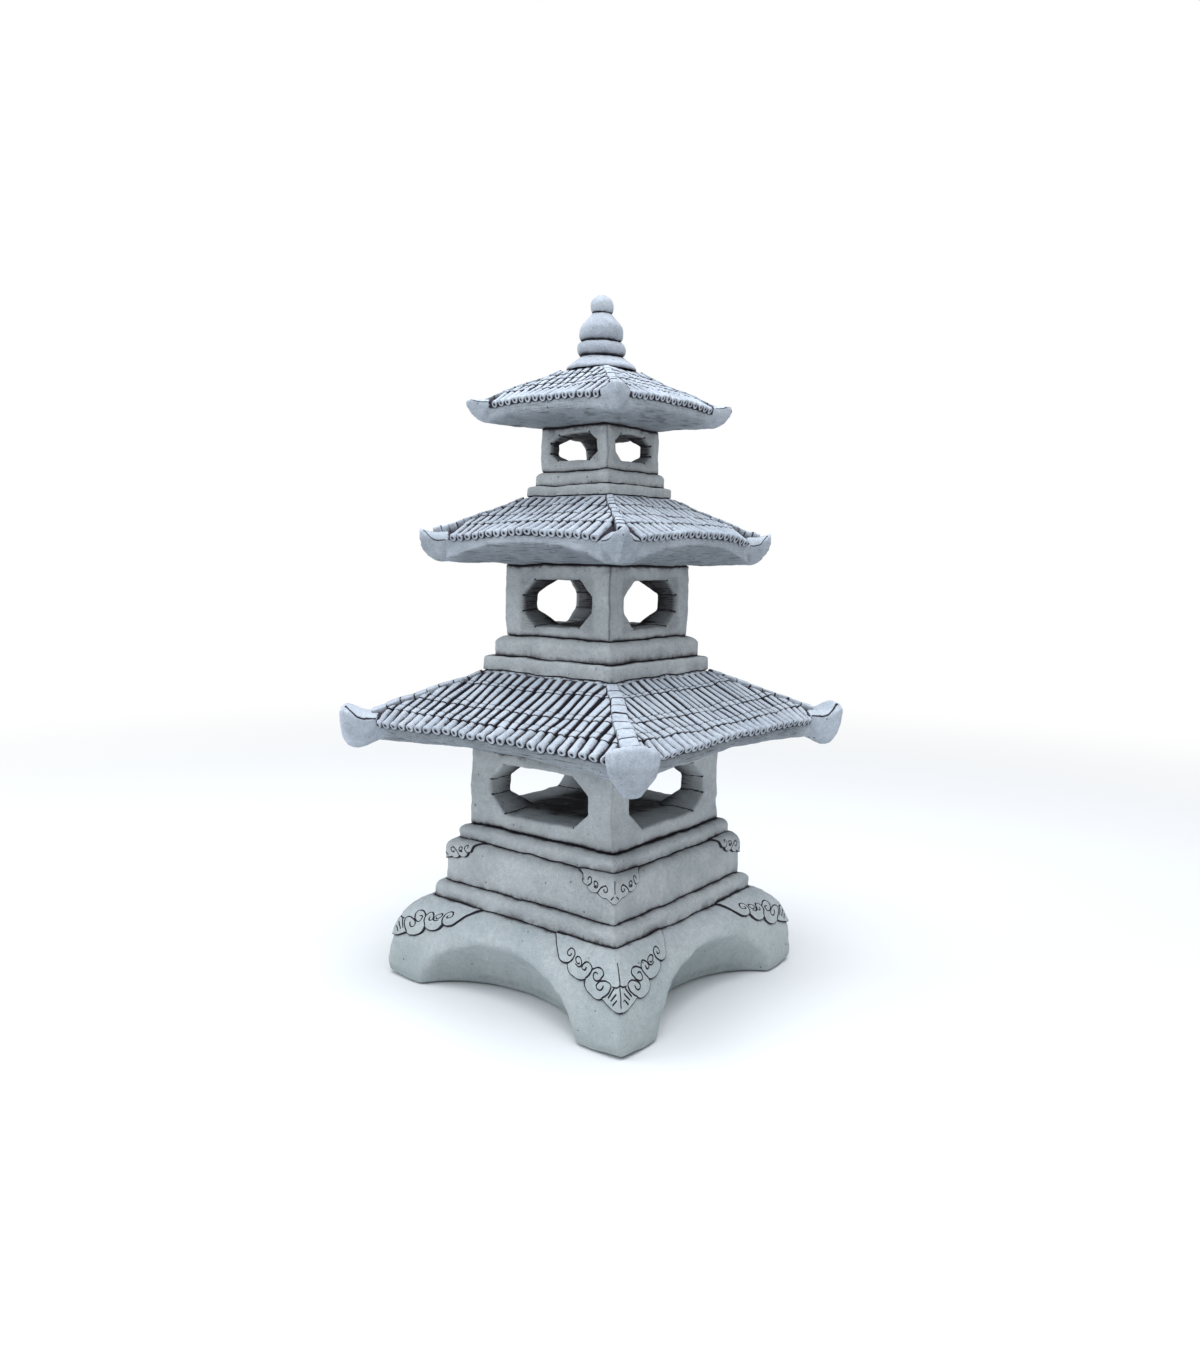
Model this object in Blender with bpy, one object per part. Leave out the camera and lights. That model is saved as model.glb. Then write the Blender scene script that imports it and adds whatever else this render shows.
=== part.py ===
import math

import bmesh
import bpy

# A three-storey garden pagoda in cast concrete, square on plan, one metre tall.
# Metres, +Z up. The origin is the middle of the base, on the ground.
# Front is -Y and right is +X. Every storey repeats the same parts at a smaller size.

# Clearance between castings that rest on each other
JOINT_GAP = 0.0003

# Two levels closer than this count as one
LEVEL_TOLERANCE = 0.000001

# Levels above the ground
FOOT_TOP = 0.1175
LOWER_MOULDING_TOP = 0.1435
DADO_TOP = 0.2065
UPPER_MOULDING_TOP = 0.2290
LOWER_HOUSE_TOP = 0.3475
LOWER_ROOF_TOP = 0.4608
MIDDLE_STEP_TOP = 0.4819
MIDDLE_PLINTH_TOP = 0.5118
MIDDLE_HOUSE_TOP = 0.6171
MIDDLE_ROOF_TOP = 0.7124
UPPER_STEP_TOP = 0.7276
UPPER_PLINTH_TOP = 0.7483
UPPER_HOUSE_TOP = 0.8114
UPPER_ROOF_TOP = 0.8930
COLLAR_TOP = 0.9125
RING_TOP = 0.9340
BULB_TOP = 0.9778
TOTAL_HEIGHT = 1.0

# Square castings: half width, then how far the top edge is rounded off
LOWER_MOULDING = (0.1720, 0.0110)
DADO = (0.1590, 0.0135)
UPPER_MOULDING = (0.1460, 0.0100)
MIDDLE_STEP = (0.1200, 0.0030)
MIDDLE_PLINTH = (0.1085, 0.0090)
UPPER_STEP = (0.0750, 0.0030)
UPPER_PLINTH = (0.0678, 0.0060)
EDGE_SEGMENTS = 3

# Foot: half width and level of its flank, from the ground up to the neck
FOOT_PROFILE = (
    (0.2270, 0.0000), (0.2260, 0.0120), (0.2235, 0.0340), (0.2195, 0.0530),
    (0.2150, 0.0690), (0.2105, 0.0820), (0.2060, 0.0920), (0.1985, 0.1015),
    (0.1880, 0.1115), (0.1780, FOOT_TOP),
)
FOOT_CORNER_CUT = 0.0040

# Scoop between two feet: part of an ellipsoid centred outside the flank, below the ground
SCOOP_CENTRE_OUT = 0.2500
SCOOP_CENTRE_LEVEL = -0.0100
SCOOP_RADII = (0.1525, 0.1000, 0.1080)
SCOOP_SEGMENTS = 36
SCOOP_RINGS = 20

# Houses: half width, then the window's half width, half length of its sill and head,
# half height, half height of its upright side, and the level of its middle
HOUSES = {
    "lower": (0.1335, (0.0920, 0.0640, 0.0365, 0.0120, 0.2910)),
    "middle": (0.0968, (0.0625, 0.0400, 0.0340, 0.0115, 0.5615)),
    "upper": (0.0608, (0.0410, 0.0275, 0.0185, 0.0075, 0.7820)),
}
# How far a window's cutter reaches from the axis, in half widths of its house
WINDOW_REACH = 1.2
HOUSE_LEVELS = {
    "lower": (UPPER_MOULDING_TOP, LOWER_HOUSE_TOP),
    "middle": (MIDDLE_PLINTH_TOP, MIDDLE_HOUSE_TOP),
    "upper": (UPPER_PLINTH_TOP, UPPER_HOUSE_TOP),
}

# Roofs, from the soffit up. Pairs are levels in the middle and at the ends of a side.
# hip_low is the level of the tile bed where the hip meets the horn, at hip_cut from the axis
# along the diagonal. The ridge of saddle tiles runs from ridge_start to ridge_end.
# A horn station is its distance past the cut, its width, and its lowest and highest level.
ROOFS = {
    "lower": {
        "bottom": LOWER_HOUSE_TOP,
        "top": LOWER_ROOF_TOP,
        "bottom_half": 0.1375,
        "top_half": 0.1225,
        "eave_half": 0.2480,
        "soffit": (0.3720, 0.3600),
        "tile_foot": (0.3860, 0.3795),
        "tile_head": (0.3965, 0.3905),
        "hip_width": 0.0180,
        "hip_low": 0.4035,
        "hip_cut": 0.3220,
        "ridge_start": 0.1705,
        "ridge_end": 0.3285,
        "ridge_width": (0.0170, 0.0280),
        "ridge_height": (0.0050, 0.0115),
        "saddles": 8,
        "horn_root": (0.0540, 0.3510),
        "horn": (
            (0.0145, 0.060, 0.3470, 0.4010),
            (0.0270, 0.066, 0.3450, 0.4060),
            (0.0380, 0.067, 0.3455, 0.4110),
            (0.0470, 0.060, 0.3510, 0.4125),
            (0.0530, 0.042, 0.3640, 0.4060),
        ),
    },
    "middle": {
        "bottom": MIDDLE_HOUSE_TOP,
        "top": MIDDLE_ROOF_TOP,
        "bottom_half": 0.1000,
        "top_half": 0.0765,
        "eave_half": 0.1740,
        "soffit": (0.6420, 0.6190),
        "tile_foot": (0.6560, 0.6465),
        "tile_head": (0.6660, 0.6565),
        "hip_width": 0.0140,
        "hip_low": 0.6655,
        "hip_cut": 0.2200,
        "ridge_start": 0.1068,
        "ridge_end": 0.2390,
        "ridge_width": (0.0130, 0.0200),
        "ridge_height": (0.0070, 0.0115),
        "saddles": 8,
        "horn_root": (0.0400, 0.6178),
        "horn": (
            (0.0235, 0.042, 0.6225, 0.6565),
            (0.0315, 0.036, 0.6290, 0.6590),
            (0.0375, 0.028, 0.6375, 0.6635),
            (0.0425, 0.016, 0.6510, 0.6660),
        ),
    },
    "upper": {
        "bottom": UPPER_HOUSE_TOP,
        "top": UPPER_ROOF_TOP,
        "bottom_half": 0.0640,
        "top_half": 0.0420,
        "eave_half": 0.1290,
        "soffit": (0.8230, 0.8180),
        "tile_foot": (0.8390, 0.8340),
        "tile_head": (0.8480, 0.8430),
        "hip_width": 0.0110,
        "hip_low": 0.8495,
        "hip_cut": 0.1620,
        "ridge_start": 0.0560,
        "ridge_end": 0.1700,
        "ridge_width": (0.0100, 0.0150),
        "ridge_height": (0.0030, 0.0050),
        "saddles": 7,
        "horn_root": (0.0300, 0.8155),
        "horn": (
            (0.0130, 0.030, 0.8215, 0.8470),
            (0.0230, 0.025, 0.8285, 0.8480),
            (0.0325, 0.012, 0.8400, 0.8485),
        ),
    },
}
FASCIA_SET_BACK = 0.0030
FASCIA_ROUNDING = 0.0040
SLOPE_POWER = 1.18
SLOPE_LEVELS = 5
SIDE_POINTS = 8
EAVE_SWEEP_POWER = 2.2

# Saddle tiles: how far each lower end stands above the next one's upper end
SADDLE_STEP = 0.0015

# Section of a saddle tile: share of its half width and share of its height
SADDLE_SECTION = (
    (-1.00, 0.00), (1.00, 0.00), (1.00, 0.50), (0.55, 0.88),
    (0.00, 1.00), (-0.55, 0.88), (-1.00, 0.50),
)

# Where the ridge ends this close to the horn's first station, that station stands for both
NEAR_STATION = 0.95

# Octagonal section of a horn: share of its half width and share of its height
HORN_SECTION = (
    (-0.42, 1.00), (0.42, 1.00), (1.00, 0.72), (0.94, 0.40),
    (0.52, 0.00), (-0.52, 0.00), (-0.94, 0.40), (-1.00, 0.72),
)

# Finial: turned outlines as radius and level, outer side from the top down
COLLAR_OUTLINE = ((0.0305, COLLAR_TOP), (0.0400, 0.9085), (0.0468, 0.9030),
                  (0.0492, 0.8985), (0.0490, UPPER_ROOF_TOP + JOINT_GAP))
RING_OUTLINE = ((0.0290, RING_TOP), (0.0318, 0.9305), (0.0334, 0.9250),
                (0.0334, 0.9205), (0.0318, 0.9160), (0.0290, COLLAR_TOP + JOINT_GAP))
BULB_OUTLINE = ((0.0155, BULB_TOP), (0.0200, 0.9700), (0.0243, 0.9630), (0.0282, 0.9570),
                (0.0303, 0.9500), (0.0305, 0.9440), (0.0292, 0.9385),
                (0.0265, RING_TOP + JOINT_GAP))
TIP_OUTLINE = ((0.0020, TOTAL_HEIGHT), (0.0062, 0.9989), (0.0110, 0.9962), (0.0146, 0.9915),
               (0.0163, 0.9860), (0.0160, 0.9805), (0.0148, BULB_TOP + JOINT_GAP))
TURNED_SIDES = 28

# Corners in turn about +Z, each a quarter turn from the last, starting at +X, -Y
CORNERS = ("front_right", "back_right", "back_left", "front_left")

# Colour of the concrete on each group of castings (linear RGB)
PALE_CONCRETE = (0.38, 0.44, 0.48)
GREEN_CONCRETE = (0.32, 0.38, 0.38)
BLUE_CONCRETE = (0.42, 0.48, 0.56)
CONCRETE_ROUGHNESS = 0.85

# Edges sharper than this, in degrees, stay sharp when a casting is shaded smooth
CASTING_EDGE_ANGLE = 30
ROOF_EDGE_ANGLE = 40
TURNED_EDGE_ANGLE = 50


def clear_scene():
    for item in list(bpy.data.objects):
        bpy.data.objects.remove(item, do_unlink=True)


def concrete(name, colour):
    material = bpy.data.materials.new(name)
    material.use_nodes = True
    shader = material.node_tree.nodes["Principled BSDF"]
    shader.inputs["Base Color"].default_value = (*colour, 1.0)
    shader.inputs["Roughness"].default_value = CONCRETE_ROUGHNESS
    shader.inputs["Metallic"].default_value = 0.0
    return material


def add_object(name, mesh, colour):
    mesh.materials.append(concrete(name + "_concrete", colour))
    item = bpy.data.objects.new(name, mesh)
    bpy.context.scene.collection.objects.link(item)
    return item


def finish_mesh(bm, name, smooth_angle=None):
    mesh = bpy.data.meshes.new(name)
    bmesh.ops.recalc_face_normals(bm, faces=bm.faces)
    bm.to_mesh(mesh)
    bm.free()
    if smooth_angle is not None:
        mesh.shade_smooth()
        mesh.set_sharp_from_angle(angle=math.radians(smooth_angle))
    return mesh


def extrude_loop(bm, loop, points):
    # Each new corner is tied by one edge to the corner that it grew from
    place_of = {vert: place for place, vert in enumerate(loop)}
    edges = [bm.edges.get((loop[place - 1], loop[place])) for place in range(len(loop))]
    grown = bmesh.ops.extrude_edge_only(bm, edges=edges)
    new_loop = [None] * len(loop)
    for item in grown["geom"]:
        if not isinstance(item, bmesh.types.BMVert):
            continue
        for edge in item.link_edges:
            old = edge.other_vert(item)
            if old in place_of:
                new_loop[place_of[old]] = item
    for vert, point in zip(new_loop, points):
        vert.co = point
    return new_loop


def stack_rings(name, rings, smooth_angle=None):
    # A closed body: the first ring is its bottom face, the last one its top
    bm = bmesh.new()
    loop = [bm.verts.new(point) for point in rings[0]]
    bm.faces.new(loop)
    for points in rings[1:]:
        loop = extrude_loop(bm, loop, points)
    bm.faces.new(loop)
    return finish_mesh(bm, name, smooth_angle)


def blend(start, end, share):
    return start + (end - start) * share


def make_square_block(half, low, high):
    # Its underside keeps the joint's gap to the casting below
    bm = bmesh.new()
    bmesh.ops.create_cube(bm, size=1.0)
    foot = low + JOINT_GAP
    for vert in bm.verts:
        vert.co.x *= 2 * half
        vert.co.y *= 2 * half
        vert.co.z = blend(foot, high, vert.co.z + 0.5)
    return bm


def make_square_casting(name, size, low, high, colour):
    half, rounding = size
    bm = make_square_block(half, low, high)
    top = high - LEVEL_TOLERANCE
    top_edges = [edge for edge in bm.edges if all(vert.co.z > top for vert in edge.verts)]
    bmesh.ops.bevel(bm, geom=top_edges, offset=rounding, segments=EDGE_SEGMENTS,
                    profile=0.5, affect="EDGES")
    add_object(name, finish_mesh(bm, name, CASTING_EDGE_ANGLE), colour)


def turned_sides(side, levels):
    # The front side's points, then the same for the right, back and left sides
    ring = []
    for quarter in range(4):
        for place, (x, y) in enumerate(side):
            level = levels[place] if isinstance(levels, list) else levels
            for _ in range(quarter):
                x, y = -y, x
            ring.append((x, y, level))
    return ring


def make_scoop_cutter(quarter):
    bm = bmesh.new()
    bmesh.ops.create_uvsphere(bm, u_segments=SCOOP_SEGMENTS, v_segments=SCOOP_RINGS, radius=1.0)
    for vert in bm.verts:
        for axis in range(3):
            vert.co[axis] *= SCOOP_RADII[axis]
    name = f"scoop_cutter_{quarter + 1}"
    cutter = bpy.data.objects.new(name, finish_mesh(bm, name))
    turn = quarter * math.pi / 2
    cutter.location = (SCOOP_CENTRE_OUT * math.sin(turn), -SCOOP_CENTRE_OUT * math.cos(turn),
                       SCOOP_CENTRE_LEVEL)
    cutter.rotation_euler.z = turn
    hide_cutter(cutter)
    return cutter


def make_foot():
    rings = []
    for half, level in FOOT_PROFILE:
        corner = half - FOOT_CORNER_CUT
        rings.append(turned_sides([(-corner, -half), (corner, -half)], level))
    mesh = stack_rings("foot_base", rings, CASTING_EDGE_ANGLE)
    foot = add_object("foot_base", mesh, GREEN_CONCRETE)
    for quarter in range(4):
        cut_away(foot, make_scoop_cutter(quarter))


def hide_cutter(cutter):
    cutter.hide_render = True
    cutter.display_type = "WIRE"
    bpy.context.scene.collection.objects.link(cutter)


def cut_away(item, cutter):
    cut = item.modifiers.new(cutter.name, "BOOLEAN")
    cut.operation = "DIFFERENCE"
    cut.solver = "EXACT"
    cut.object = cutter


def make_window_cutter(name, half, window, turn):
    half_width, half_head, half_height, half_upright, middle = window
    outline = (
        (-half_width, -half_upright), (-half_head, -half_height),
        (half_head, -half_height), (half_width, -half_upright),
        (half_width, half_upright), (half_head, half_height),
        (-half_head, half_height), (-half_width, half_upright),
    )
    reach = half * WINDOW_REACH
    rings = []
    for y in (-reach, reach):
        rings.append([(x, y, middle + z) for x, z in outline])
    mesh = stack_rings(name, rings)
    cutter = bpy.data.objects.new(name, mesh)
    cutter.rotation_euler.z = turn
    hide_cutter(cutter)
    return cutter


def make_house(storey):
    half, window = HOUSES[storey]
    name = storey + "_house"
    block = make_square_block(half, *HOUSE_LEVELS[storey])
    house = add_object(name, finish_mesh(block, name), PALE_CONCRETE)
    for side, turn in (("front_to_back", 0.0), ("side_to_side", math.pi / 2)):
        cutter_name = f"{storey}_{side}_window_cutter"
        cut_away(house, make_window_cutter(cutter_name, half, window, turn))


def strip_half(roof, distance):
    # Half width of the roof where the hip's flat strip is this far out along the diagonal
    return (distance + roof["hip_width"] / 2) / math.sqrt(2)


def strip_distance(roof, half):
    return half * math.sqrt(2) - roof["hip_width"] / 2


def hip_bed(roof, distance):
    # The hip falls in a straight line from the roof's top to the horn, and on below it
    top_distance = strip_distance(roof, roof["top_half"])
    share = (distance - top_distance) / (roof["hip_cut"] - top_distance)
    return blend(roof["top"], roof["hip_low"], share)


def mid_slope(roof, half):
    # The tile bed in the middle of a side is slightly hollow
    share = (half - roof["top_half"]) / (roof["eave_half"] - roof["top_half"])
    return blend(roof["tile_head"][0], roof["top"], (1 - share) ** SLOPE_POWER)


def corner_cut(roof, half):
    # The hip is flattened for the ridge, and the eave corner is cut for the horn
    ridge_cut = roof["hip_width"] / math.sqrt(2)
    horn_cut = 2 * half - roof["hip_cut"] * math.sqrt(2)
    return max(ridge_cut, horn_cut)


def roof_ring(roof, half, middle, end):
    reach = half - corner_cut(roof, half)
    side = []
    levels = []
    for step in range(SIDE_POINTS + 1):
        share = -1 + 2 * step / SIDE_POINTS
        side.append((reach * share, -half))
        levels.append(blend(middle, end, abs(share) ** EAVE_SWEEP_POWER))
    return turned_sides(side, levels)


def make_roof(storey, roof):
    low = roof["bottom"] + JOINT_GAP
    eave_half = roof["eave_half"]
    soffit_middle, soffit_end = roof["soffit"]
    rings = [
        roof_ring(roof, roof["bottom_half"], low, low),
        roof_ring(roof, eave_half - FASCIA_SET_BACK - FASCIA_ROUNDING, soffit_middle, soffit_end),
        roof_ring(roof, eave_half - FASCIA_SET_BACK, soffit_middle + FASCIA_ROUNDING,
                  soffit_end + FASCIA_ROUNDING),
        roof_ring(roof, eave_half, *roof["tile_foot"]),
        roof_ring(roof, eave_half, *roof["tile_head"]),
    ]
    cut_half = strip_half(roof, roof["hip_cut"])
    for step in range(SLOPE_LEVELS + 1):
        half = blend(cut_half, roof["top_half"], step / SLOPE_LEVELS)
        hip = hip_bed(roof, strip_distance(roof, half))
        rings.append(roof_ring(roof, half, mid_slope(roof, half), hip))
    name = storey + "_roof"
    add_object(name, stack_rings(name, rings, ROOF_EDGE_ANGLE), BLUE_CONCRETE)


def diagonal_point(distance, across, level):
    # A point on the front right diagonal, moved sideways by across
    leg = math.sqrt(0.5)
    return (leg * (distance + across), leg * (across - distance), level)


def ridge_ring(roof, distance, rise):
    share = (distance - roof["ridge_start"]) / (roof["ridge_end"] - roof["ridge_start"])
    base = hip_bed(roof, distance) + JOINT_GAP
    half_width = blend(*roof["ridge_width"], share) / 2
    height = blend(*roof["ridge_height"], share) + rise
    return [diagonal_point(distance, across * half_width, base + up * height)
            for across, up in SADDLE_SECTION]


def make_hip_ridge_mesh(storey, roof):
    # Saddle tiles that overlap down the hip: each is a little taller at its lower end
    start = roof["ridge_start"]
    length = (roof["ridge_end"] - start) / roof["saddles"]
    rings = []
    for saddle in range(roof["saddles"]):
        upper = start + saddle * length
        rings.append(ridge_ring(roof, upper, -SADDLE_STEP / 2))
        rings.append(ridge_ring(roof, upper + length - JOINT_GAP, SADDLE_STEP / 2))
    return stack_rings(storey + "_hip_ridge", rings, ROOF_EDGE_ANGLE)


def horn_ring(roof, past, width, low, high):
    ring = []
    for across, rise in HORN_SECTION:
        level = blend(low, high, rise)
        ring.append(diagonal_point(roof["hip_cut"] + past, across * width / 2, level))
    return ring


def make_horn_mesh(storey, roof):
    # The root lies against the roof's cut corner, and the ridge's last saddle rests on it
    root_width, root_low = roof["horn_root"]
    root_high = hip_bed(roof, roof["hip_cut"])
    rings = [horn_ring(roof, JOINT_GAP, root_width, root_low, root_high)]
    rest = roof["ridge_end"] - roof["hip_cut"]
    first_past, first_width, first_low, _ = roof["horn"][0]
    share = rest / first_past
    if share < NEAR_STATION:
        rings.append(horn_ring(roof, rest, blend(root_width, first_width, share),
                               blend(root_low, first_low, share),
                               hip_bed(roof, roof["ridge_end"])))
    for station in roof["horn"]:
        rings.append(horn_ring(roof, *station))
    return stack_rings(storey + "_horn", rings, TURNED_EDGE_ANGLE)


def place_at_corners(name, mesh, colour):
    for quarter, corner in enumerate(CORNERS):
        copy = mesh if quarter == 0 else mesh.copy()
        if quarter:
            copy.materials.clear()
        item = add_object(f"{name}_{corner}", copy, colour)
        item.rotation_euler.z = quarter * math.pi / 2


def make_turned_piece(name, outline):
    rings = []
    for radius, level in reversed(outline):
        ring = []
        for side in range(TURNED_SIDES):
            angle = 2 * math.pi * side / TURNED_SIDES
            ring.append((radius * math.cos(angle), radius * math.sin(angle), level))
        rings.append(ring)
    add_object(name, stack_rings(name, rings, TURNED_EDGE_ANGLE), BLUE_CONCRETE)


def make_pagoda():
    make_foot()
    make_square_casting("lower_moulding", LOWER_MOULDING, FOOT_TOP, LOWER_MOULDING_TOP,
                        PALE_CONCRETE)
    make_square_casting("dado", DADO, LOWER_MOULDING_TOP, DADO_TOP, PALE_CONCRETE)
    make_square_casting("upper_moulding", UPPER_MOULDING, DADO_TOP, UPPER_MOULDING_TOP,
                        PALE_CONCRETE)
    make_square_casting("middle_step", MIDDLE_STEP, LOWER_ROOF_TOP, MIDDLE_STEP_TOP,
                        PALE_CONCRETE)
    make_square_casting("middle_plinth", MIDDLE_PLINTH, MIDDLE_STEP_TOP, MIDDLE_PLINTH_TOP,
                        PALE_CONCRETE)
    make_square_casting("upper_step", UPPER_STEP, MIDDLE_ROOF_TOP, UPPER_STEP_TOP,
                        PALE_CONCRETE)
    make_square_casting("upper_plinth", UPPER_PLINTH, UPPER_STEP_TOP, UPPER_PLINTH_TOP,
                        PALE_CONCRETE)
    for storey in HOUSES:
        make_house(storey)
    for storey, roof in ROOFS.items():
        make_roof(storey, roof)
        place_at_corners(storey + "_hip_ridge", make_hip_ridge_mesh(storey, roof), BLUE_CONCRETE)
        place_at_corners(storey + "_horn", make_horn_mesh(storey, roof), BLUE_CONCRETE)
    make_turned_piece("finial_collar", COLLAR_OUTLINE)
    make_turned_piece("finial_ring", RING_OUTLINE)
    make_turned_piece("finial_bulb", BULB_OUTLINE)
    make_turned_piece("finial_tip", TIP_OUTLINE)


clear_scene()
make_pagoda()
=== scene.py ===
import math
import random

import bmesh
import bpy
import numpy as np
from mathutils import Matrix, Vector


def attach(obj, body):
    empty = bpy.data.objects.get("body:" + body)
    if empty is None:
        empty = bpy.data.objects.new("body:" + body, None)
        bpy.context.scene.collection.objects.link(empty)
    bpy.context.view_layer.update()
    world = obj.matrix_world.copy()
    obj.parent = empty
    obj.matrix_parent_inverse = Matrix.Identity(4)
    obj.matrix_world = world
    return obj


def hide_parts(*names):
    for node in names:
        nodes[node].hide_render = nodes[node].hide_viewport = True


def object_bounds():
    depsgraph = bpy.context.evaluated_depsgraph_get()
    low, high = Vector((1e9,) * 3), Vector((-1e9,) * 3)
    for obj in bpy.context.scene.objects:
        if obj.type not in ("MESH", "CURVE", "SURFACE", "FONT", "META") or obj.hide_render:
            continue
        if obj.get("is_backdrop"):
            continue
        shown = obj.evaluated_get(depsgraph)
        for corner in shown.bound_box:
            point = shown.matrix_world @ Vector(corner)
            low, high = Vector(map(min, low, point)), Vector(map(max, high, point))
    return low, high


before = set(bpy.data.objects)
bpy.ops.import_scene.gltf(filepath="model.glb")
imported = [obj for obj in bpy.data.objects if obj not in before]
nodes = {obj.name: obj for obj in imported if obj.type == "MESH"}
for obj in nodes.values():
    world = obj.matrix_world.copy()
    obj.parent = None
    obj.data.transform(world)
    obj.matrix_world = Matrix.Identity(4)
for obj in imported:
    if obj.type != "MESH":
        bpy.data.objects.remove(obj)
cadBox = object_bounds()
dice = random.Random(4)
print("frame loaded:", len(nodes), "castings")

root2 = math.sqrt(2)
hair = 0.000001  # corners this close to a plane or a level lie on it
speck = 0.00001  # corners closer together than this are one


# Small helpers for meshes and the edit mode

def showOnly(piece):
    if bpy.context.mode != "OBJECT":
        bpy.ops.object.mode_set(mode="OBJECT")
    bpy.ops.object.select_all(action="DESELECT")
    piece.hide_viewport = False
    piece.select_set(True)
    bpy.context.view_layer.objects.active = piece


def openMesh(piece):
    showOnly(piece)
    bpy.ops.object.mode_set(mode="EDIT")
    bpy.ops.mesh.select_all(action="DESELECT")


def closeMesh():
    bpy.ops.object.mode_set(mode="OBJECT")


def pick(kind, test):
    # Selects only the corners, edges or faces that pass the test
    bpy.ops.mesh.select_mode(type=kind)
    bpy.ops.mesh.select_all(action="DESELECT")
    work = bmesh.from_edit_mesh(bpy.context.object.data)
    for item in {"VERT": work.verts, "EDGE": work.edges, "FACE": work.faces}[kind]:
        if test(item):
            item.select_set(True)
    bmesh.update_edit_mesh(bpy.context.object.data)


def cutAcross(point, normal, **more):
    bpy.ops.mesh.select_all(action="SELECT")
    bpy.ops.mesh.bisect(plane_co=point, plane_no=normal, **more)


def faceOutwards():
    bpy.ops.mesh.select_all(action="SELECT")
    bpy.ops.mesh.normals_make_consistent(inside=False)


def mergeCorners(reach):
    bpy.ops.mesh.select_all(action="SELECT")
    bpy.ops.mesh.remove_doubles(threshold=reach)


def scaleFrom(centre, x, y, z):
    bpy.ops.transform.resize(value=(x, y, z), center_override=centre)


def pullOut(x, y, z):
    bpy.ops.mesh.extrude_region_move(TRANSFORM_OT_translate={"value": (x, y, z)})


def runsAlong(edge, axis):
    # True where an edge runs straight along one of the three axes
    step = edge.verts[1].co - edge.verts[0].co
    return abs(step[axis]) > 0.98 * step.length


def applyModifier(piece, kind, **settings):
    showOnly(piece)
    modifier = piece.modifiers.new(kind.lower(), kind)
    for name, value in settings.items():
        setattr(modifier, name, value)
    bpy.ops.object.modifier_apply(modifier=modifier.name)


def clamp(share):
    return max(0.0, min(1.0, share))


def ramp(value, start, end):
    # Rises softly from 0 to 1 between start and end
    share = clamp((value - start) / (end - start))
    return share * share * (3 - 2 * share)


def blend(start, end, share):
    return start + (end - start) * share


def weighCorners(piece, shareAt):
    # Gives each corner of the mesh a share, for the modifiers to read
    group = piece.vertex_groups.new(name="share")
    for vert in piece.data.vertices:
        group.add([vert.index], shareAt(vert.co), "REPLACE")


def smoothen(piece, rounds, group=""):
    applyModifier(piece, "SMOOTH", factor=0.5, iterations=rounds, vertex_group=group)


def meshEvenly(piece, grid, smoothing):
    # Small even faces all over, with the sharp edges worn off
    applyModifier(piece, "REMESH", mode="VOXEL", voxel_size=grid)
    smoothen(piece, smoothing)


def fixPlace(piece, name):
    # The object stays at the origin and its place goes into the mesh
    showOnly(piece)
    bpy.ops.object.transform_apply(location=True, rotation=True, scale=True)
    piece.name = name
    piece.data.name = name
    return piece


def copyNode(node, name):
    # A CAD casting's own mesh, merged so that it can be shaped
    piece = bpy.data.objects.new(name, nodes[node].data.copy())
    piece.data.name = name
    bpy.context.scene.collection.objects.link(piece)
    piece.data.materials.clear()
    openMesh(piece)
    mergeCorners(speck)
    closeMesh()
    return piece


def startCube(name, place, x, y, z):
    # A cube in edit mode, of this size and with its middle at the place
    bpy.ops.mesh.primitive_cube_add(size=1, location=place, scale=(x, y, z))
    piece = fixPlace(bpy.context.object, name)
    openMesh(piece)
    return piece


def joinPieces(parts, name):
    showOnly(parts[0])
    for part in parts[1:]:
        part.select_set(True)
    bpy.ops.object.join()
    joined = bpy.context.object
    joined.name = name
    joined.data.name = name
    return joined


def stampCopy(unit, matrix):
    copy = bpy.data.objects.new(unit.name + "Copy", unit.data.copy())
    copy.data.transform(matrix)
    bpy.context.scene.collection.objects.link(copy)
    return copy


def turnTo(place, across, along, upward):
    # The matrix that lays the three axes along these directions, with its origin at the place
    matrix = Matrix((across, along, upward)).transposed().to_4x4()
    matrix.translation = place
    return matrix


# Casting by hand: one slow wave runs through every piece, so edges waver and joints still meet

handCast = {
    "waveLength": 0.055,
    "waveDepth": 0.0054,
    "rippleLength": 0.014,
    "rippleDepth": 0.0016,
    "roughLength": 0.0045,
    "stillBelow": 0.004,
    "freeAbove": 0.035,
}


def cloudTexture(name, length, kind, detail):
    texture = bpy.data.textures.new(name, "CLOUDS")
    texture.noise_scale = length
    texture.noise_depth = detail
    texture.cloud_type = kind
    return texture


waveTexture = cloudTexture("slow wave", handCast["waveLength"], "COLOR", 1)
rippleTexture = cloudTexture("hand ripple", handCast["rippleLength"], "COLOR", 1)
roughTexture = cloudTexture("rough cast", handCast["roughLength"], "GRAYSCALE", 3)


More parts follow.
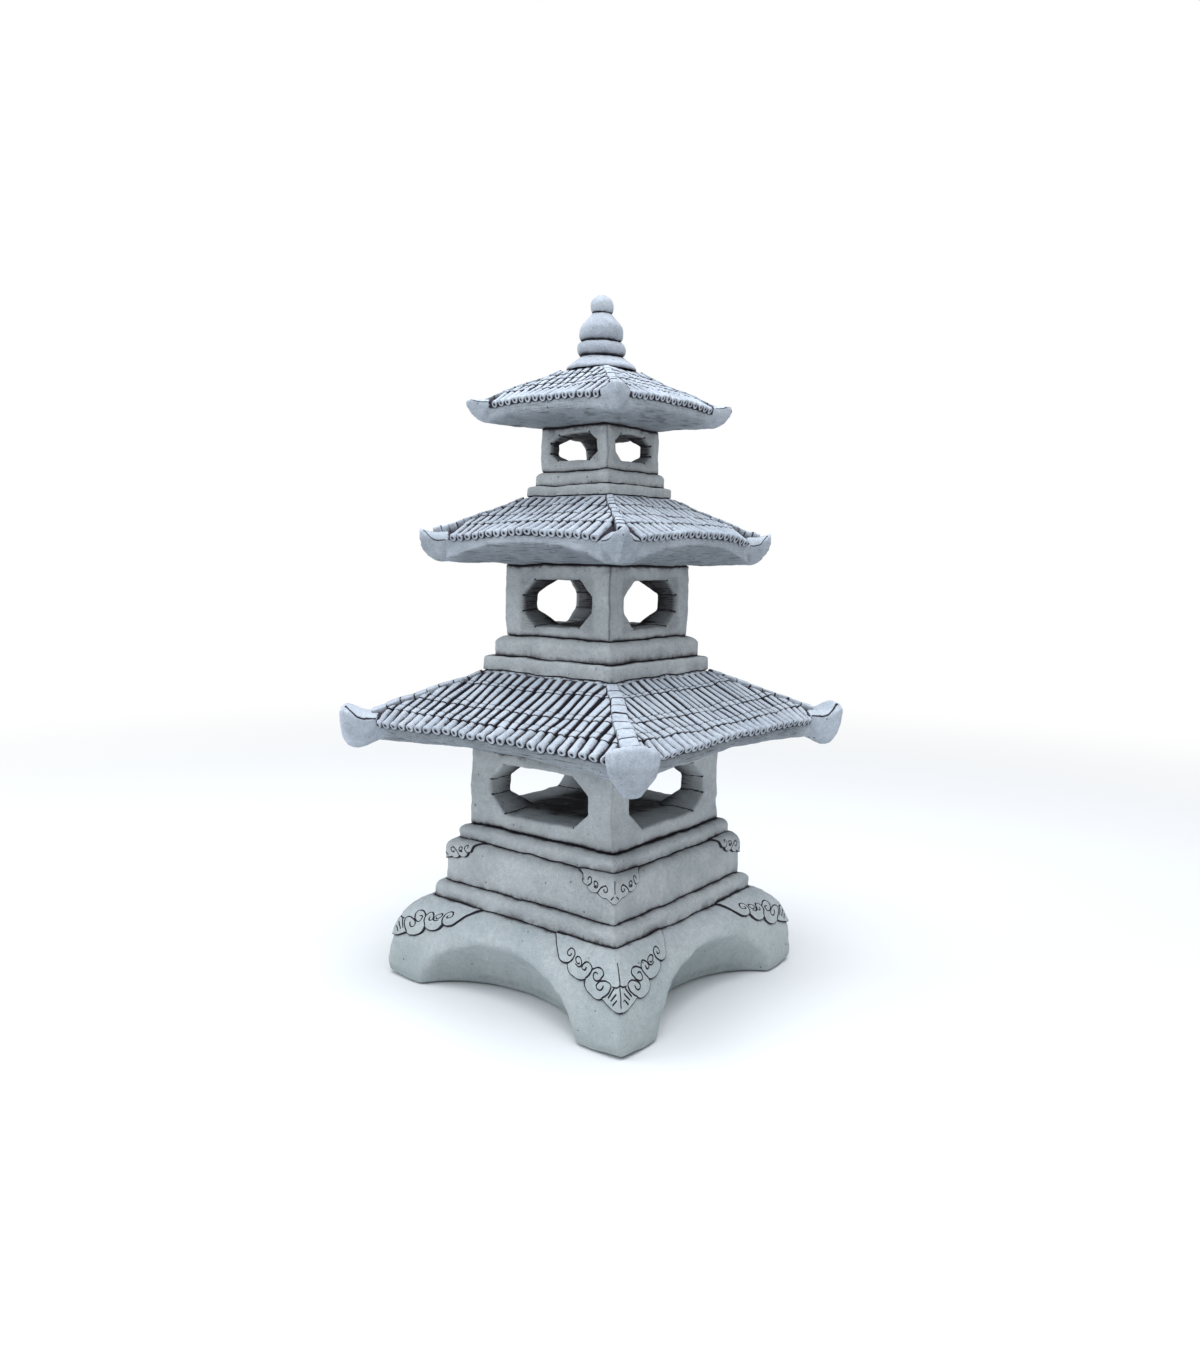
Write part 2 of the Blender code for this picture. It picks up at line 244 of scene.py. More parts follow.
def castByHand(piece, rough=0.0):
    # The foot's underside and the finial's tip stay where they are
    low = handCast["stillBelow"]
    high = handCast["freeAbove"]
    weighCorners(piece, lambda place: clamp((min(place.z, 1.0 - place.z) - low) / (high - low)))
    for texture, depth, direction in ((waveTexture, handCast["waveDepth"], "RGB_TO_XYZ"),
                                      (rippleTexture, handCast["rippleDepth"], "RGB_TO_XYZ"),
                                      (roughTexture, rough, "NORMAL")):
        if depth:
            applyModifier(piece, "DISPLACE", texture=texture, texture_coords="LOCAL",
                          direction=direction, strength=depth, mid_level=0.5,
                          vertex_group="share")
    piece.vertex_groups.clear()
    # Nothing leaves the box of the CAD model
    places = np.empty(len(piece.data.vertices) * 3)
    piece.data.vertices.foreach_get("co", places)
    places = np.clip(places.reshape(-1, 3), np.array(cadBox[0]), np.array(cadBox[1]))
    piece.data.vertices.foreach_set("co", places.ravel())
    piece.data.update()


# Finishes

def hexColour(text):
    parts = [int(text[place:place + 2], 16) / 255 for place in (1, 3, 5)]
    linear = [c / 12.92 if c <= 0.04045 else ((c + 0.055) / 1.055) ** 2.4 for c in parts]
    return (*linear, 1.0)


def addNode(tree, kind, feeds=(), **settings):
    # What feeds the node is given by socket or in the sockets' order, for a MapRange the value,
    # the range it comes from and the range it goes to. A node feeds with its first output.
    node = tree.nodes.new("ShaderNode" + kind)
    for name, value in settings.items():
        setattr(node, name, value)
    for socket, value in feeds.items() if isinstance(feeds, dict) else enumerate(feeds):
        if isinstance(value, bpy.types.Node):
            value = value.outputs[0]
        if isinstance(value, bpy.types.NodeSocket):
            tree.links.new(value, node.inputs[socket])
        else:
            node.inputs[socket].default_value = value
    return node


soft = {"interpolation_type": "SMOOTHSTEP"}
# How many features of a pattern lie in a metre
perMetre = {
    "patch": 13.0,  # slow patches, about 80 mm across
    "smudgeAndShade": 38.0,  # 26 mm, blotches of brown smudge that the wiping cloth missed and of painted shade in nooks
    "mottle": 125.0,  # 8 mm
    "bubble": 130.0,  # 8 mm apart, each an air bubble of at most 4 mm
    "waver": 160.0,  # 6 mm, along the cracks of a window
    "sand": 620.0,  # grains of 1.6 mm
    "score": (34.0, 34.0, 560.0),  # level scores that the mould left, 2 mm apart
}
# In metres: how far a window's cracks waver, and how far off their stain ends and is full.
# The reveal is counted as a share of the window's half width.
crack = {"waver": 0.0022, "ends": 0.0021, "full": 0.0009, "reveal": (0.80, 0.95)}
# In millimetres, the same of the line along a horn's shoulders. The attribute has the value
# level on the line and away where there is none. The line lies below the shoulder, in metres.
hornLine = {"waver": 2.4, "ends": 1.7, "full": 0.7, "level": 100.0, "away": 120.0, "below": 0.001}


def paintSeams(tree, window):
    # Stain in the thin cracks between the facets of a window's reveal, both ways through
    place = addNode(tree, "Attribute", attribute_name="mouldPlace").outputs["Vector"]
    unsteady = addNode(tree, "TexNoise",
                       {"Vector": place, "Scale": perMetre["waver"], "Detail": 2.0})
    shaken = addNode(tree, "VectorMath",
                     (unsteady.outputs["Color"], (crack["waver"],) * 3, place),
                     operation="MULTIPLY_ADD")
    half = crack["waver"] / 2
    centred = addNode(tree, "VectorMath", (shaken, (half, half, window["middle"] + half)),
                      operation="SUBTRACT")
    folded = addNode(tree, "VectorMath", (centred,), operation="ABSOLUTE")
    nearest = None
    for flat in ((1, 0, 1), (0, 1, 1)):
        section = addNode(tree, "VectorMath", (folded, flat), operation="MULTIPLY")
        for wide, high in ((window["halfHead"], window["halfHeight"]),
                           (window["halfWidth"], window["halfUpright"])):
            away = addNode(tree, "VectorMath",
                           (section, (wide * flat[0], wide * flat[1], high)),
                           operation="DISTANCE").outputs["Value"]
            nearest = away if nearest is None else addNode(
                tree, "Math", (nearest, away), operation="MINIMUM").outputs[0]
    line = addNode(tree, "MapRange", (nearest, crack["ends"], crack["full"]), **soft)
    sides = addNode(tree, "SeparateXYZ", (folded,))
    outer = addNode(tree, "Math", (sides.outputs[0], sides.outputs[1]), operation="MAXIMUM")
    start, full = (share * window["halfWidth"] for share in crack["reveal"])
    reveal = addNode(tree, "MapRange", (outer, start, full), **soft)
    return addNode(tree, "Math", (line, reveal), operation="MULTIPLY")


def paintHornLine(tree, mottle):
    # The thin stained line along a horn's upper edges. The attribute counts millimetres from it
    field = addNode(tree, "Attribute", attribute_name="tongue").outputs["Fac"]
    shaken = addNode(tree, "Math", (mottle, hornLine["waver"], field), operation="MULTIPLY_ADD")
    middle = hornLine["level"] + hornLine["waver"] / 2
    apart = addNode(tree, "Math", (shaken, middle), operation="SUBTRACT")
    away = addNode(tree, "Math", (apart,), operation="ABSOLUTE")
    return addNode(tree, "MapRange", (away, hornLine["ends"], hornLine["full"]), **soft)


def castConcrete(name, finish, window=None):
    # Grey cast concrete, poured in a mould by hand, stained and wiped back: a matt stone skin
    # with pores and worn edges, and a near-black stain left in every hollow
    material = bpy.data.materials.new(name)
    material.use_nodes = True
    tree = material.node_tree
    shader = tree.nodes["Principled BSDF"]
    place = addNode(tree, "TexCoord").outputs["Object"]
    height = addNode(tree, "SeparateXYZ", (place,)).outputs[2]

    patch, mottle, sand, blotches = (
        addNode(tree, "TexNoise", {"Vector": place, "Scale": perMetre[kind],
                                   "Detail": detail, "Roughness": rough})
        for kind, detail, rough in (("patch", 3.0, 0.6), ("mottle", 4.0, 0.65),
                                    ("sand", 3.0, 0.6), ("smudgeAndShade", 5.0, 0.7)))
    patchShare = addNode(tree, "MapRange", (patch, 0.35, 0.65), **soft)
    mottleShare = addNode(tree, "MapRange", (mottle, 0.3, 0.7, 0.88, 1.10))
    grain = addNode(tree, "MapRange", (sand, 0.3, 0.7, 0.80, 1.16))
    shade = addNode(tree, "Math", (mottleShare, grain), operation="MULTIPLY")
    base = addNode(tree, "Mix", {0: patchShare, 6: hexColour(finish["pale"]),
                                 7: hexColour(finish["deep"])}, data_type="RGBA")
    skin = addNode(tree, "VectorMath", {0: base.outputs[2], "Scale": shade}, operation="SCALE")

    # Painted green bounce light from the ground, low down. Smudges, painted shade and stain stay
    # clear of the ground
    greenBounce = addNode(tree, "MapRange", (height, finish["greenBounceTop"], 0.0, 0.0, finish["greenBounce"]), **soft)
    aboveGround = addNode(tree, "MapRange", (height, *finish["groundClear"]), **soft)

    # Brown smudges where the wiping cloth did not reach well, and painted shade in the nooks
    nook = addNode(tree, "AmbientOcclusion", {"Distance": finish["smudgeAndShadeReach"]}, samples=6)
    nookSmudgeAndShade = addNode(tree, "MapRange", (nook.outputs["AO"], 0.91, 0.52, 0.0, aboveGround))
    smudgeAndShadeShare = addNode(tree, "MapRange", (blotches, 0.42, 0.60, 0.15, 1.0), **soft)
    smudgeAndShadeMottle = addNode(tree, "MapRange", (mottle, 0.40, 0.60, 0.6, 1.7))
    patchy = addNode(tree, "Math", (smudgeAndShadeShare, smudgeAndShadeMottle), operation="MULTIPLY")
    smudgeAndShade = addNode(tree, "Math", (nookSmudgeAndShade, patchy), operation="MULTIPLY")
    smudgeAndShadeAmount = addNode(tree, "Math", (smudgeAndShade, finish["smudgeAndShadeAmount"]),
                           operation="MULTIPLY", use_clamp=True)

    # Stain left in the grooves and joints, broken where it was rubbed off
    groove = addNode(tree, "AmbientOcclusion", {"Distance": finish["stainReach"]}, samples=8)
    rubbed = addNode(tree, "MapRange", (mottle, 0.3, 0.7, -finish["rubbed"], finish["rubbed"]))
    depth = addNode(tree, "Math", (groove.outputs["AO"], rubbed), operation="ADD")
    hollow = addNode(tree, "MapRange",
                     (depth, finish["stainFrom"], finish["stainFull"], 0.0, aboveGround), **soft)
    painted = addNode(tree, "Attribute", attribute_name="stain").outputs["Fac"]
    thinned = addNode(tree, "Math", (painted, rubbed), operation="SUBTRACT", use_clamp=True)
    held = addNode(tree, "MapRange", (thinned, 0.15, 0.85), **soft)
    stain = addNode(tree, "Math", (hollow, held), operation="MAXIMUM")
    for seam in (paintSeams(tree, window) if window else None, paintHornLine(tree, mottle)):
        if seam:
            stain = addNode(tree, "Math", (stain, seam), operation="MAXIMUM")

    # Grime and painted shade on what faces the ground and inside the storeys, with the mould's
    # scores in it
    grimeAndShade = addNode(tree, "Attribute", attribute_name="grimeAndShade").outputs["Fac"]
    grimeAndShadeBreak = addNode(tree, "MapRange", (blotches, 0.3, 0.7, 1.15, 0.8))
    flat = addNode(tree, "Mapping", {"Vector": place, "Scale": perMetre["score"]})
    scores = addNode(tree, "TexNoise", {"Vector": flat, "Scale": 1.0, "Detail": 3.0})
    scored = addNode(tree, "MapRange", (scores, 0.52, 0.70, 0.0, 0.6), **soft)
    grimeAndShadeRough = addNode(tree, "Math", (grimeAndShadeBreak, scored), operation="ADD")
    grimeAndShadeShare = addNode(tree, "Math", (grimeAndShade, grimeAndShadeRough), operation="MULTIPLY",
                         use_clamp=True)

    # Air bubbles, in some places only
    bubbles = addNode(tree, "TexVoronoi", {"Vector": place, "Scale": perMetre["bubble"]})
    bubbleKind = addNode(tree, "SeparateColor", (bubbles.outputs["Color"],))
    bubbleSize = addNode(tree, "MapRange", (bubbleKind, 0.58, 1.0, 0.0, 0.26))
    swarm = addNode(tree, "MapRange", (blotches, 0.46, 0.60), **soft)
    bubbleDepth = addNode(tree, "Math", (bubbleSize, bubbles.outputs["Distance"]),
                          operation="SUBTRACT")
    bubbleSpot = addNode(tree, "MapRange", (bubbleDepth, 0.0, 0.06), **soft)
    bubble = addNode(tree, "Math", (bubbleSpot, swarm), operation="MULTIPLY")
    bubbleInk = addNode(tree, "Math", (bubble, finish["bubbleInk"]), operation="MULTIPLY")

    colour = skin
    for share, layer in ((greenBounce, "greenBounceColour"), (smudgeAndShadeAmount, "smudgeAndShade"), (grimeAndShadeShare, "grimeAndShade"),
                         (stain, "stain"), (bubbleInk, "stain")):
        colour = addNode(tree, "Mix", {0: share, 6: colour, 7: hexColour(finish[layer])},
                         data_type="RGBA").outputs[2]
    tree.links.new(colour, shader.inputs["Base Color"])

    # Relief of sand, mottle and bubbles
    relief = addNode(tree, "Math", (mottle, 1.6, sand), operation="MULTIPLY_ADD")
    pitted = addNode(tree, "Math", (bubble, -2.2, relief), operation="MULTIPLY_ADD")
    bump = addNode(tree, "Bump", {"Strength": 0.65, "Distance": finish["relief"],
                                  "Height": pitted})
    tree.links.new(bump.outputs[0], shader.inputs["Normal"])
    dull = addNode(tree, "MapRange", (mottle, 0.3, 0.7, *finish["roughness"]))
    tree.links.new(dull.outputs[0], shader.inputs["Roughness"])
    shader.inputs["IOR"].default_value = 1.5
    shader.inputs["Specular IOR Level"].default_value = 0.35
    return material


plainFinish = {
    "pale": "#b3b9bc",
    "deep": "#a2a9ac",
    # Painted green bounce light from the ground: its colour, how high it reaches and how strong it
    # is
    "greenBounceColour": "#8f9d97",
    "greenBounceTop": 0.16,
    "greenBounce": 0.0,
    "groundClear": (0.006, 0.020),
    # Colour, amount and reach of the brown smudges and of the painted shade in nooks
    "smudgeAndShade": "#3d363b",
    "smudgeAndShadeAmount": 0.95,
    "smudgeAndShadeReach": 0.021,
    "stain": "#25212a",
    # Colour of grime and of painted shade
    "grimeAndShade": "#221f25",
    "stainReach": 0.0100,
    "stainFrom": 0.80,
    "stainFull": 0.54,
    "rubbed": 0.13,
    "bubbleInk": 0.75,
    "relief": 0.0009,
    "roughness": (0.78, 0.92),
}
finishes = {
    "body_concrete": castConcrete("stained cast concrete", plainFinish),
    # The foot gets painted green bounce light from the ground, low down
    "foot_concrete": castConcrete("cast concrete with painted green bounce light", {
        **plainFinish, "pale": "#b7bec2", "deep": "#a8b1b6", "greenBounce": 0.34}),
    "roof_concrete": castConcrete("stained tile concrete", {
        **plainFinish, "pale": "#b9c2cd", "deep": "#a9b2be", "grimeAndShade": "#323834",
        "stainReach": 0.006, "stainFrom": 0.66, "stainFull": 0.36}),
}
# Darker than the tile concrete: weathered, and partly painted shade on the up-facing finial
finialConcrete = castConcrete("weathered cast concrete with painted shade", {
    **plainFinish, "pale": "#afb7c1", "deep": "#9ea6b1", "stainReach": 0.0085,
    "stainFrom": 0.82, "stainFull": 0.58})


def paintShare(piece, name, shareAt):
    # Keeps a value at each corner of the mesh, for the material to read, mostly from 0 to 1
    layer = piece.data.attributes.new(name, "FLOAT", "POINT")
    for vert in piece.data.vertices:
        layer.data[vert.index].value = shareAt(vert)


def dress(piece, slot, replaced, angle=35, material=None):
    piece.data.materials.clear()
    piece.data.materials.append(material or finishes[slot])
    showOnly(piece)
    bpy.ops.object.shade_smooth_by_angle(angle=math.radians(angle))
    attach(piece, "root")
    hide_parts(*replaced)
    print(piece.name, "is ready,", len(piece.data.polygons), "faces")


# Camera where the photograph was taken, just off the front right corner

camera = {
    "azimuth": 38.24,
    "distance": 1.533,
    "height": 0.624,
    "turn": -0.15,
    "tilt": 6.99,
    "roll": 0.73,
    "focalLength": 1029.9,  # in pixels of the photo
    "photoHeight": 1372,
    "sensor": 36,
}


def placeCamera():
    azimuth = math.radians(camera["azimuth"])
    roll = math.radians(camera["roll"])
    tilt = math.radians(camera["tilt"])
    eye = Vector((math.sin(azimuth) * camera["distance"],
                  -math.cos(azimuth) * camera["distance"], camera["height"]))
    forward = Matrix.Rotation(math.radians(camera["turn"]), 3, "Z") @ Vector((-eye.x, -eye.y, 0))
    forward.normalize()
    across = forward.cross(Vector((0, 0, 1))).normalized()
    forward = forward * math.cos(tilt) - Vector((0, 0, 1)) * math.sin(tilt)
    upward = across.cross(forward).normalized()
    right = across * math.cos(roll) + upward * math.sin(roll)
    upward = upward * math.cos(roll) - across * math.sin(roll)
    bpy.ops.object.camera_add()
    item = bpy.context.object
    item.matrix_world = turnTo(eye, right, upward, -forward)
    item.data.lens = camera["focalLength"] / camera["photoHeight"] * camera["sensor"]
    item.data.sensor_width = camera["sensor"]
    item.data.sensor_fit = "AUTO"
    item.data.clip_start = 0.01
    item.data.clip_end = 60
    bpy.context.scene.camera = item


light = {
    "sky": "#f3f5f8",
    "skyStrength": 0.56,
    "floor": "#e2e4e6",
    "windowPlace": (-2.6, -2.4, 2.0),
    "windowSize": 2.4,
    "windowPower": 59.0,
    "windowColour": (0.91, 0.955, 1.0),
    "ceilingPlace": (0.5, -0.4, 3.4),
    "ceilingSize": 3.0,
    "ceilingPower": 142.0,
    "ceilingColour": (0.92, 0.955, 0.99),
    "floorSize": 30.0,
    "paperFades": (0.8, 3.2),
    "aimHeight": 0.45,
}


def setStudio():
    scene = bpy.context.scene
    scene.view_settings.view_transform = "Standard"
    world = bpy.data.worlds.new("pale studio")
    scene.world = world
    world.use_nodes = True
    tree = world.node_tree
    sky = tree.nodes["Background"]
    sky.inputs["Color"].default_value = hexColour(light["sky"])
    sky.inputs["Strength"].default_value = light["skyStrength"]
    # The backdrop that the camera sees is white, the light that it gives is softer
    backdrop = addNode(tree, "Background", ((1, 1, 1, 1), 1.0))
    ray = addNode(tree, "LightPath").outputs["Is Camera Ray"]
    seen = addNode(tree, "MixShader", (ray, sky, backdrop))
    tree.links.new(seen.outputs[0], tree.nodes["World Output"].inputs["Surface"])
    for kind in ("window", "ceiling"):
        bpy.ops.object.light_add(type="AREA", location=light[kind + "Place"])
        lamp = bpy.context.object
        lamp.name = "soft " + kind
        lamp.data.size = light[kind + "Size"]
        lamp.data.energy = light[kind + "Power"]
        lamp.data.color = light[kind + "Colour"]
        aim = Vector((0, 0, light["aimHeight"])) - Vector(light[kind + "Place"])
        lamp.rotation_euler = aim.to_track_quat("-Z", "Y").to_euler()
    bpy.ops.mesh.primitive_plane_add(size=light["floorSize"])
    floor = bpy.context.object
    floor.name = "floor"
    paint = bpy.data.materials.new("matt studio paper")
    paint.use_nodes = True
    tree = paint.node_tree
    coat = tree.nodes["Principled BSDF"]
    coat.inputs["Base Color"].default_value = hexColour(light["floor"])
    coat.inputs["Roughness"].default_value = 0.9
    # The paper fades into the white backdrop away from the piece
    place = addNode(tree, "TexCoord").outputs["Object"]
    reach = addNode(tree, "VectorMath", (place,), operation="LENGTH").outputs["Value"]
    fade = addNode(tree, "MapRange", (reach, *light["paperFades"]), **soft)
    glow = addNode(tree, "Emission", ((1, 1, 1, 1), 1.0))
    sheet = addNode(tree, "MixShader", (fade, coat, glow))
    tree.links.new(sheet.outputs[0], tree.nodes["Material Output"].inputs["Surface"])
    floor.data.materials.append(paint)
    floor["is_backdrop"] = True


placeCamera()
setStudio()
print("camera and studio are set")


# Square courses: cube, rounded top edge, worn corners, then cut fine enough to waver

courses = {
    "lower_moulding": {"half": 0.1720, "low": 0.1175, "high": 0.1435, "rounding": 0.0110},
    "dado": {"half": 0.1590, "low": 0.1435, "high": 0.2065, "rounding": 0.0135},
    "upper_moulding": {"half": 0.1460, "low": 0.2065, "high": 0.2290, "rounding": 0.0100},
    "middle_step": {"half": 0.1200, "low": 0.4608, "high": 0.4819, "rounding": 0.0030},
    "middle_plinth": {"half": 0.1085, "low": 0.4819, "high": 0.5118, "rounding": 0.0100,
                      "profile": 0.36},
    "upper_step": {"half": 0.0750, "low": 0.7124, "high": 0.7276, "rounding": 0.0030},
    "upper_plinth": {"half": 0.0678, "low": 0.7276, "high": 0.7483, "rounding": 0.0065,
                     "profile": 0.40},
}
courseCut = {"ledge": 0.008, "corner": 0.0028, "step": 0.0042, "gap": 0.0003, "worn": 0.0013}


def makeCourse(node, size):
    half = size["half"]
    low = size["low"] + courseCut["gap"]
    high = size["high"]
    piece = startCube("cast_" + node, (0, 0, (low + high) / 2), 2 * half, 2 * half, high - low)
    pick("EDGE", lambda edge: min(vert.co.z for vert in edge.verts) > high - hair)
    bpy.ops.mesh.bevel(offset=size["rounding"], segments=4, profile=size.get("profile", 0.5))
    pick("EDGE", lambda edge: max(vert.co.z for vert in edge.verts) < low + hair)
    bpy.ops.mesh.bevel(offset=courseCut["worn"], segments=1, profile=0.5)
    # The corners follow the diagonals, also over the rounded edge
    pick("EDGE", lambda edge: all(abs(abs(vert.co.x) - abs(vert.co.y)) < speck
                                  for vert in edge.verts) and not runsAlong(edge, 0)
         and not runsAlong(edge, 1))
    bpy.ops.mesh.bevel(offset=courseCut["corner"], segments=2, profile=0.5)
    for level in (low, high):
        pick("FACE", lambda face: abs(face.normal.z) > 0.99 and face.calc_area() > half * half
             and abs(face.calc_center_median().z - level) < speck)
        bpy.ops.mesh.inset(thickness=courseCut["ledge"])
        bpy.ops.mesh.delete(type="FACE")
    flank = high - size["rounding"] - low - courseCut["worn"]
    pick("EDGE", lambda edge: runsAlong(edge, 2) and edge.calc_length() > 0.6 * flank)
    bpy.ops.mesh.subdivide(number_cuts=max(2, round(flank / courseCut["step"])))
    cuts = round(2 * half / courseCut["step"])
    for axis in (0, 1):
        pick("EDGE", lambda edge: runsAlong(edge, axis) and edge.calc_length() > half)
        bpy.ops.mesh.subdivide(number_cuts=min(cuts, 100))
    bpy.ops.mesh.select_all(action="SELECT")
    bpy.ops.mesh.fill_holes(sides=0)
    faceOutwards()
    closeMesh()
    castByHand(piece)
    dress(piece, "body_concrete", [node])


for node, size in courses.items():
    makeCourse(node, size)


# Foot and houses: the CAD castings in fine even faces, with their sharp edges worn off

foot = {
    "grid": 0.0038,
    "smoothing": 3,
    "worn": (0.055, 0.030),  # legs are worn below the first height, fully below the second
    "wear": 40,
    "lip": (0.135, 0.110),  # the same for the lips of the scoops, out from the middle
    "lipTop": (0.100, 0.085),
    "blunt": (0.034, 0.006),
    "bluntCorner": (0.175, 0.205),
    "blunting": 60,
    "rough": 0.0005,
}
# insideShadeBy: how deep into a storey, as a share of its half width, the painted shade inside
# grows full
houses = {
    "lower": {"half": 0.1335, "base": 0.2290, "middle": 0.2910, "halfWidth": 0.0920,
              "halfHead": 0.0640, "halfHeight": 0.0365, "halfUpright": 0.0120,
              "grid": 0.0030, "insideShadeBy": 0.42, "edgeDark": 0.10, "baseDark": 0.46},
    "middle": {"half": 0.0968, "base": 0.5118, "middle": 0.5615, "halfWidth": 0.0625,
               "halfHead": 0.0400, "halfHeight": 0.0340, "halfUpright": 0.0115,
               "grid": 0.0025, "insideShadeBy": 0.10, "edgeDark": 0.55, "baseDark": 0.36},
    "upper": {"half": 0.0608, "base": 0.7483, "middle": 0.7820, "halfWidth": 0.0410,
              "halfHead": 0.0275, "halfHeight": 0.0185, "halfUpright": 0.0075,
              "grid": 0.0018, "insideShadeBy": 0.14, "edgeDark": 0.40, "baseDark": 0.20},
}
# How far the dark reaches from a storey's upright edges, its windows and its foot
darkReach = {"edge": 0.0034, "window": 0.010, "base": 0.009}
houseSmoothing = 3
houseRough = 0.0005


def makeFoot():
    piece = copyNode("foot_base", "cast_foot_base")
    meshEvenly(piece, foot["grid"], foot["smoothing"])

    def wornAt(place):
        # The legs near the ground, and the lips of the scoops between the leaves
        lip = ramp(min(abs(place.x), abs(place.y)), *foot["lip"]) * ramp(place.z, *foot["lipTop"])
        return max(lip, ramp(place.z, *foot["worn"]))

    def bluntAt(place):
        corner = ramp(min(abs(place.x), abs(place.y)), *foot["bluntCorner"])
        return corner * ramp(place.z, *foot["blunt"])

    for shareAt, rounds in ((wornAt, foot["wear"]), (bluntAt, foot["blunting"])):
        weighCorners(piece, shareAt)
        smoothen(piece, rounds, "share")
        piece.vertex_groups.clear()
    castByHand(piece, foot["rough"])
    dress(piece, "foot_concrete", ["foot_base"], 50)


def makeHouse(storey, size):
    node = storey + "_house"
    piece = copyNode(node, "cast_" + node)
    meshEvenly(piece, size["grid"], houseSmoothing)
    # Where each corner was before the wave, so that painted seams waver with the edges
    layer = piece.data.attributes.new("mouldPlace", "FLOAT_VECTOR", "POINT")
    for vert in piece.data.vertices:
        layer.data[vert.index].vector = vert.co

    def grimeAndShadeAt(vert):
        # Painted shade inside the storey, lighter on the sills that the light reaches; dark along
        # the upright corners, round the windows and at the foot
        x, y = abs(vert.co.x), abs(vert.co.y)
        deep = (size["half"] - max(x, y)) / size["half"]
        sill = ramp(vert.normal.z, 0.5, 0.9) * (1 - ramp(deep, 0.25, 0.5))
        inside = 0.8 * ramp(deep, 0.01, size["insideShadeBy"]) + 0.2 * ramp(deep, 0.1, 0.5)
        beside = math.hypot(max(0.0, min(x, y) - size["halfWidth"]),
                            max(0.0, abs(vert.co.z - size["middle"]) - size["halfHeight"]))
        return max(inside * (1.0 - 0.75 * sill),
                   size["edgeDark"] * ramp(abs(x - y), darkReach["edge"], 0.0),
                   size["edgeDark"] * 0.5 * ramp(beside, darkReach["window"], 0.0),
                   size["baseDark"] * ramp(vert.co.z - size["base"], darkReach["base"], 0.0))

    paintShare(piece, "grimeAndShade", grimeAndShadeAt)
    castByHand(piece, houseRough)
    material = castConcrete(f"stained cast concrete of the {storey} storey", plainFinish, size)
    dress(piece, "body_concrete", [node], 50, material)


makeFoot()
for storey, size in houses.items():
    makeHouse(storey, size)


# Roofs. Levels and half widths are those of the castings; pairs are middle and end of a side.
# A course is how far its lower edge lies from the roof's top edge on plan, and its collar.

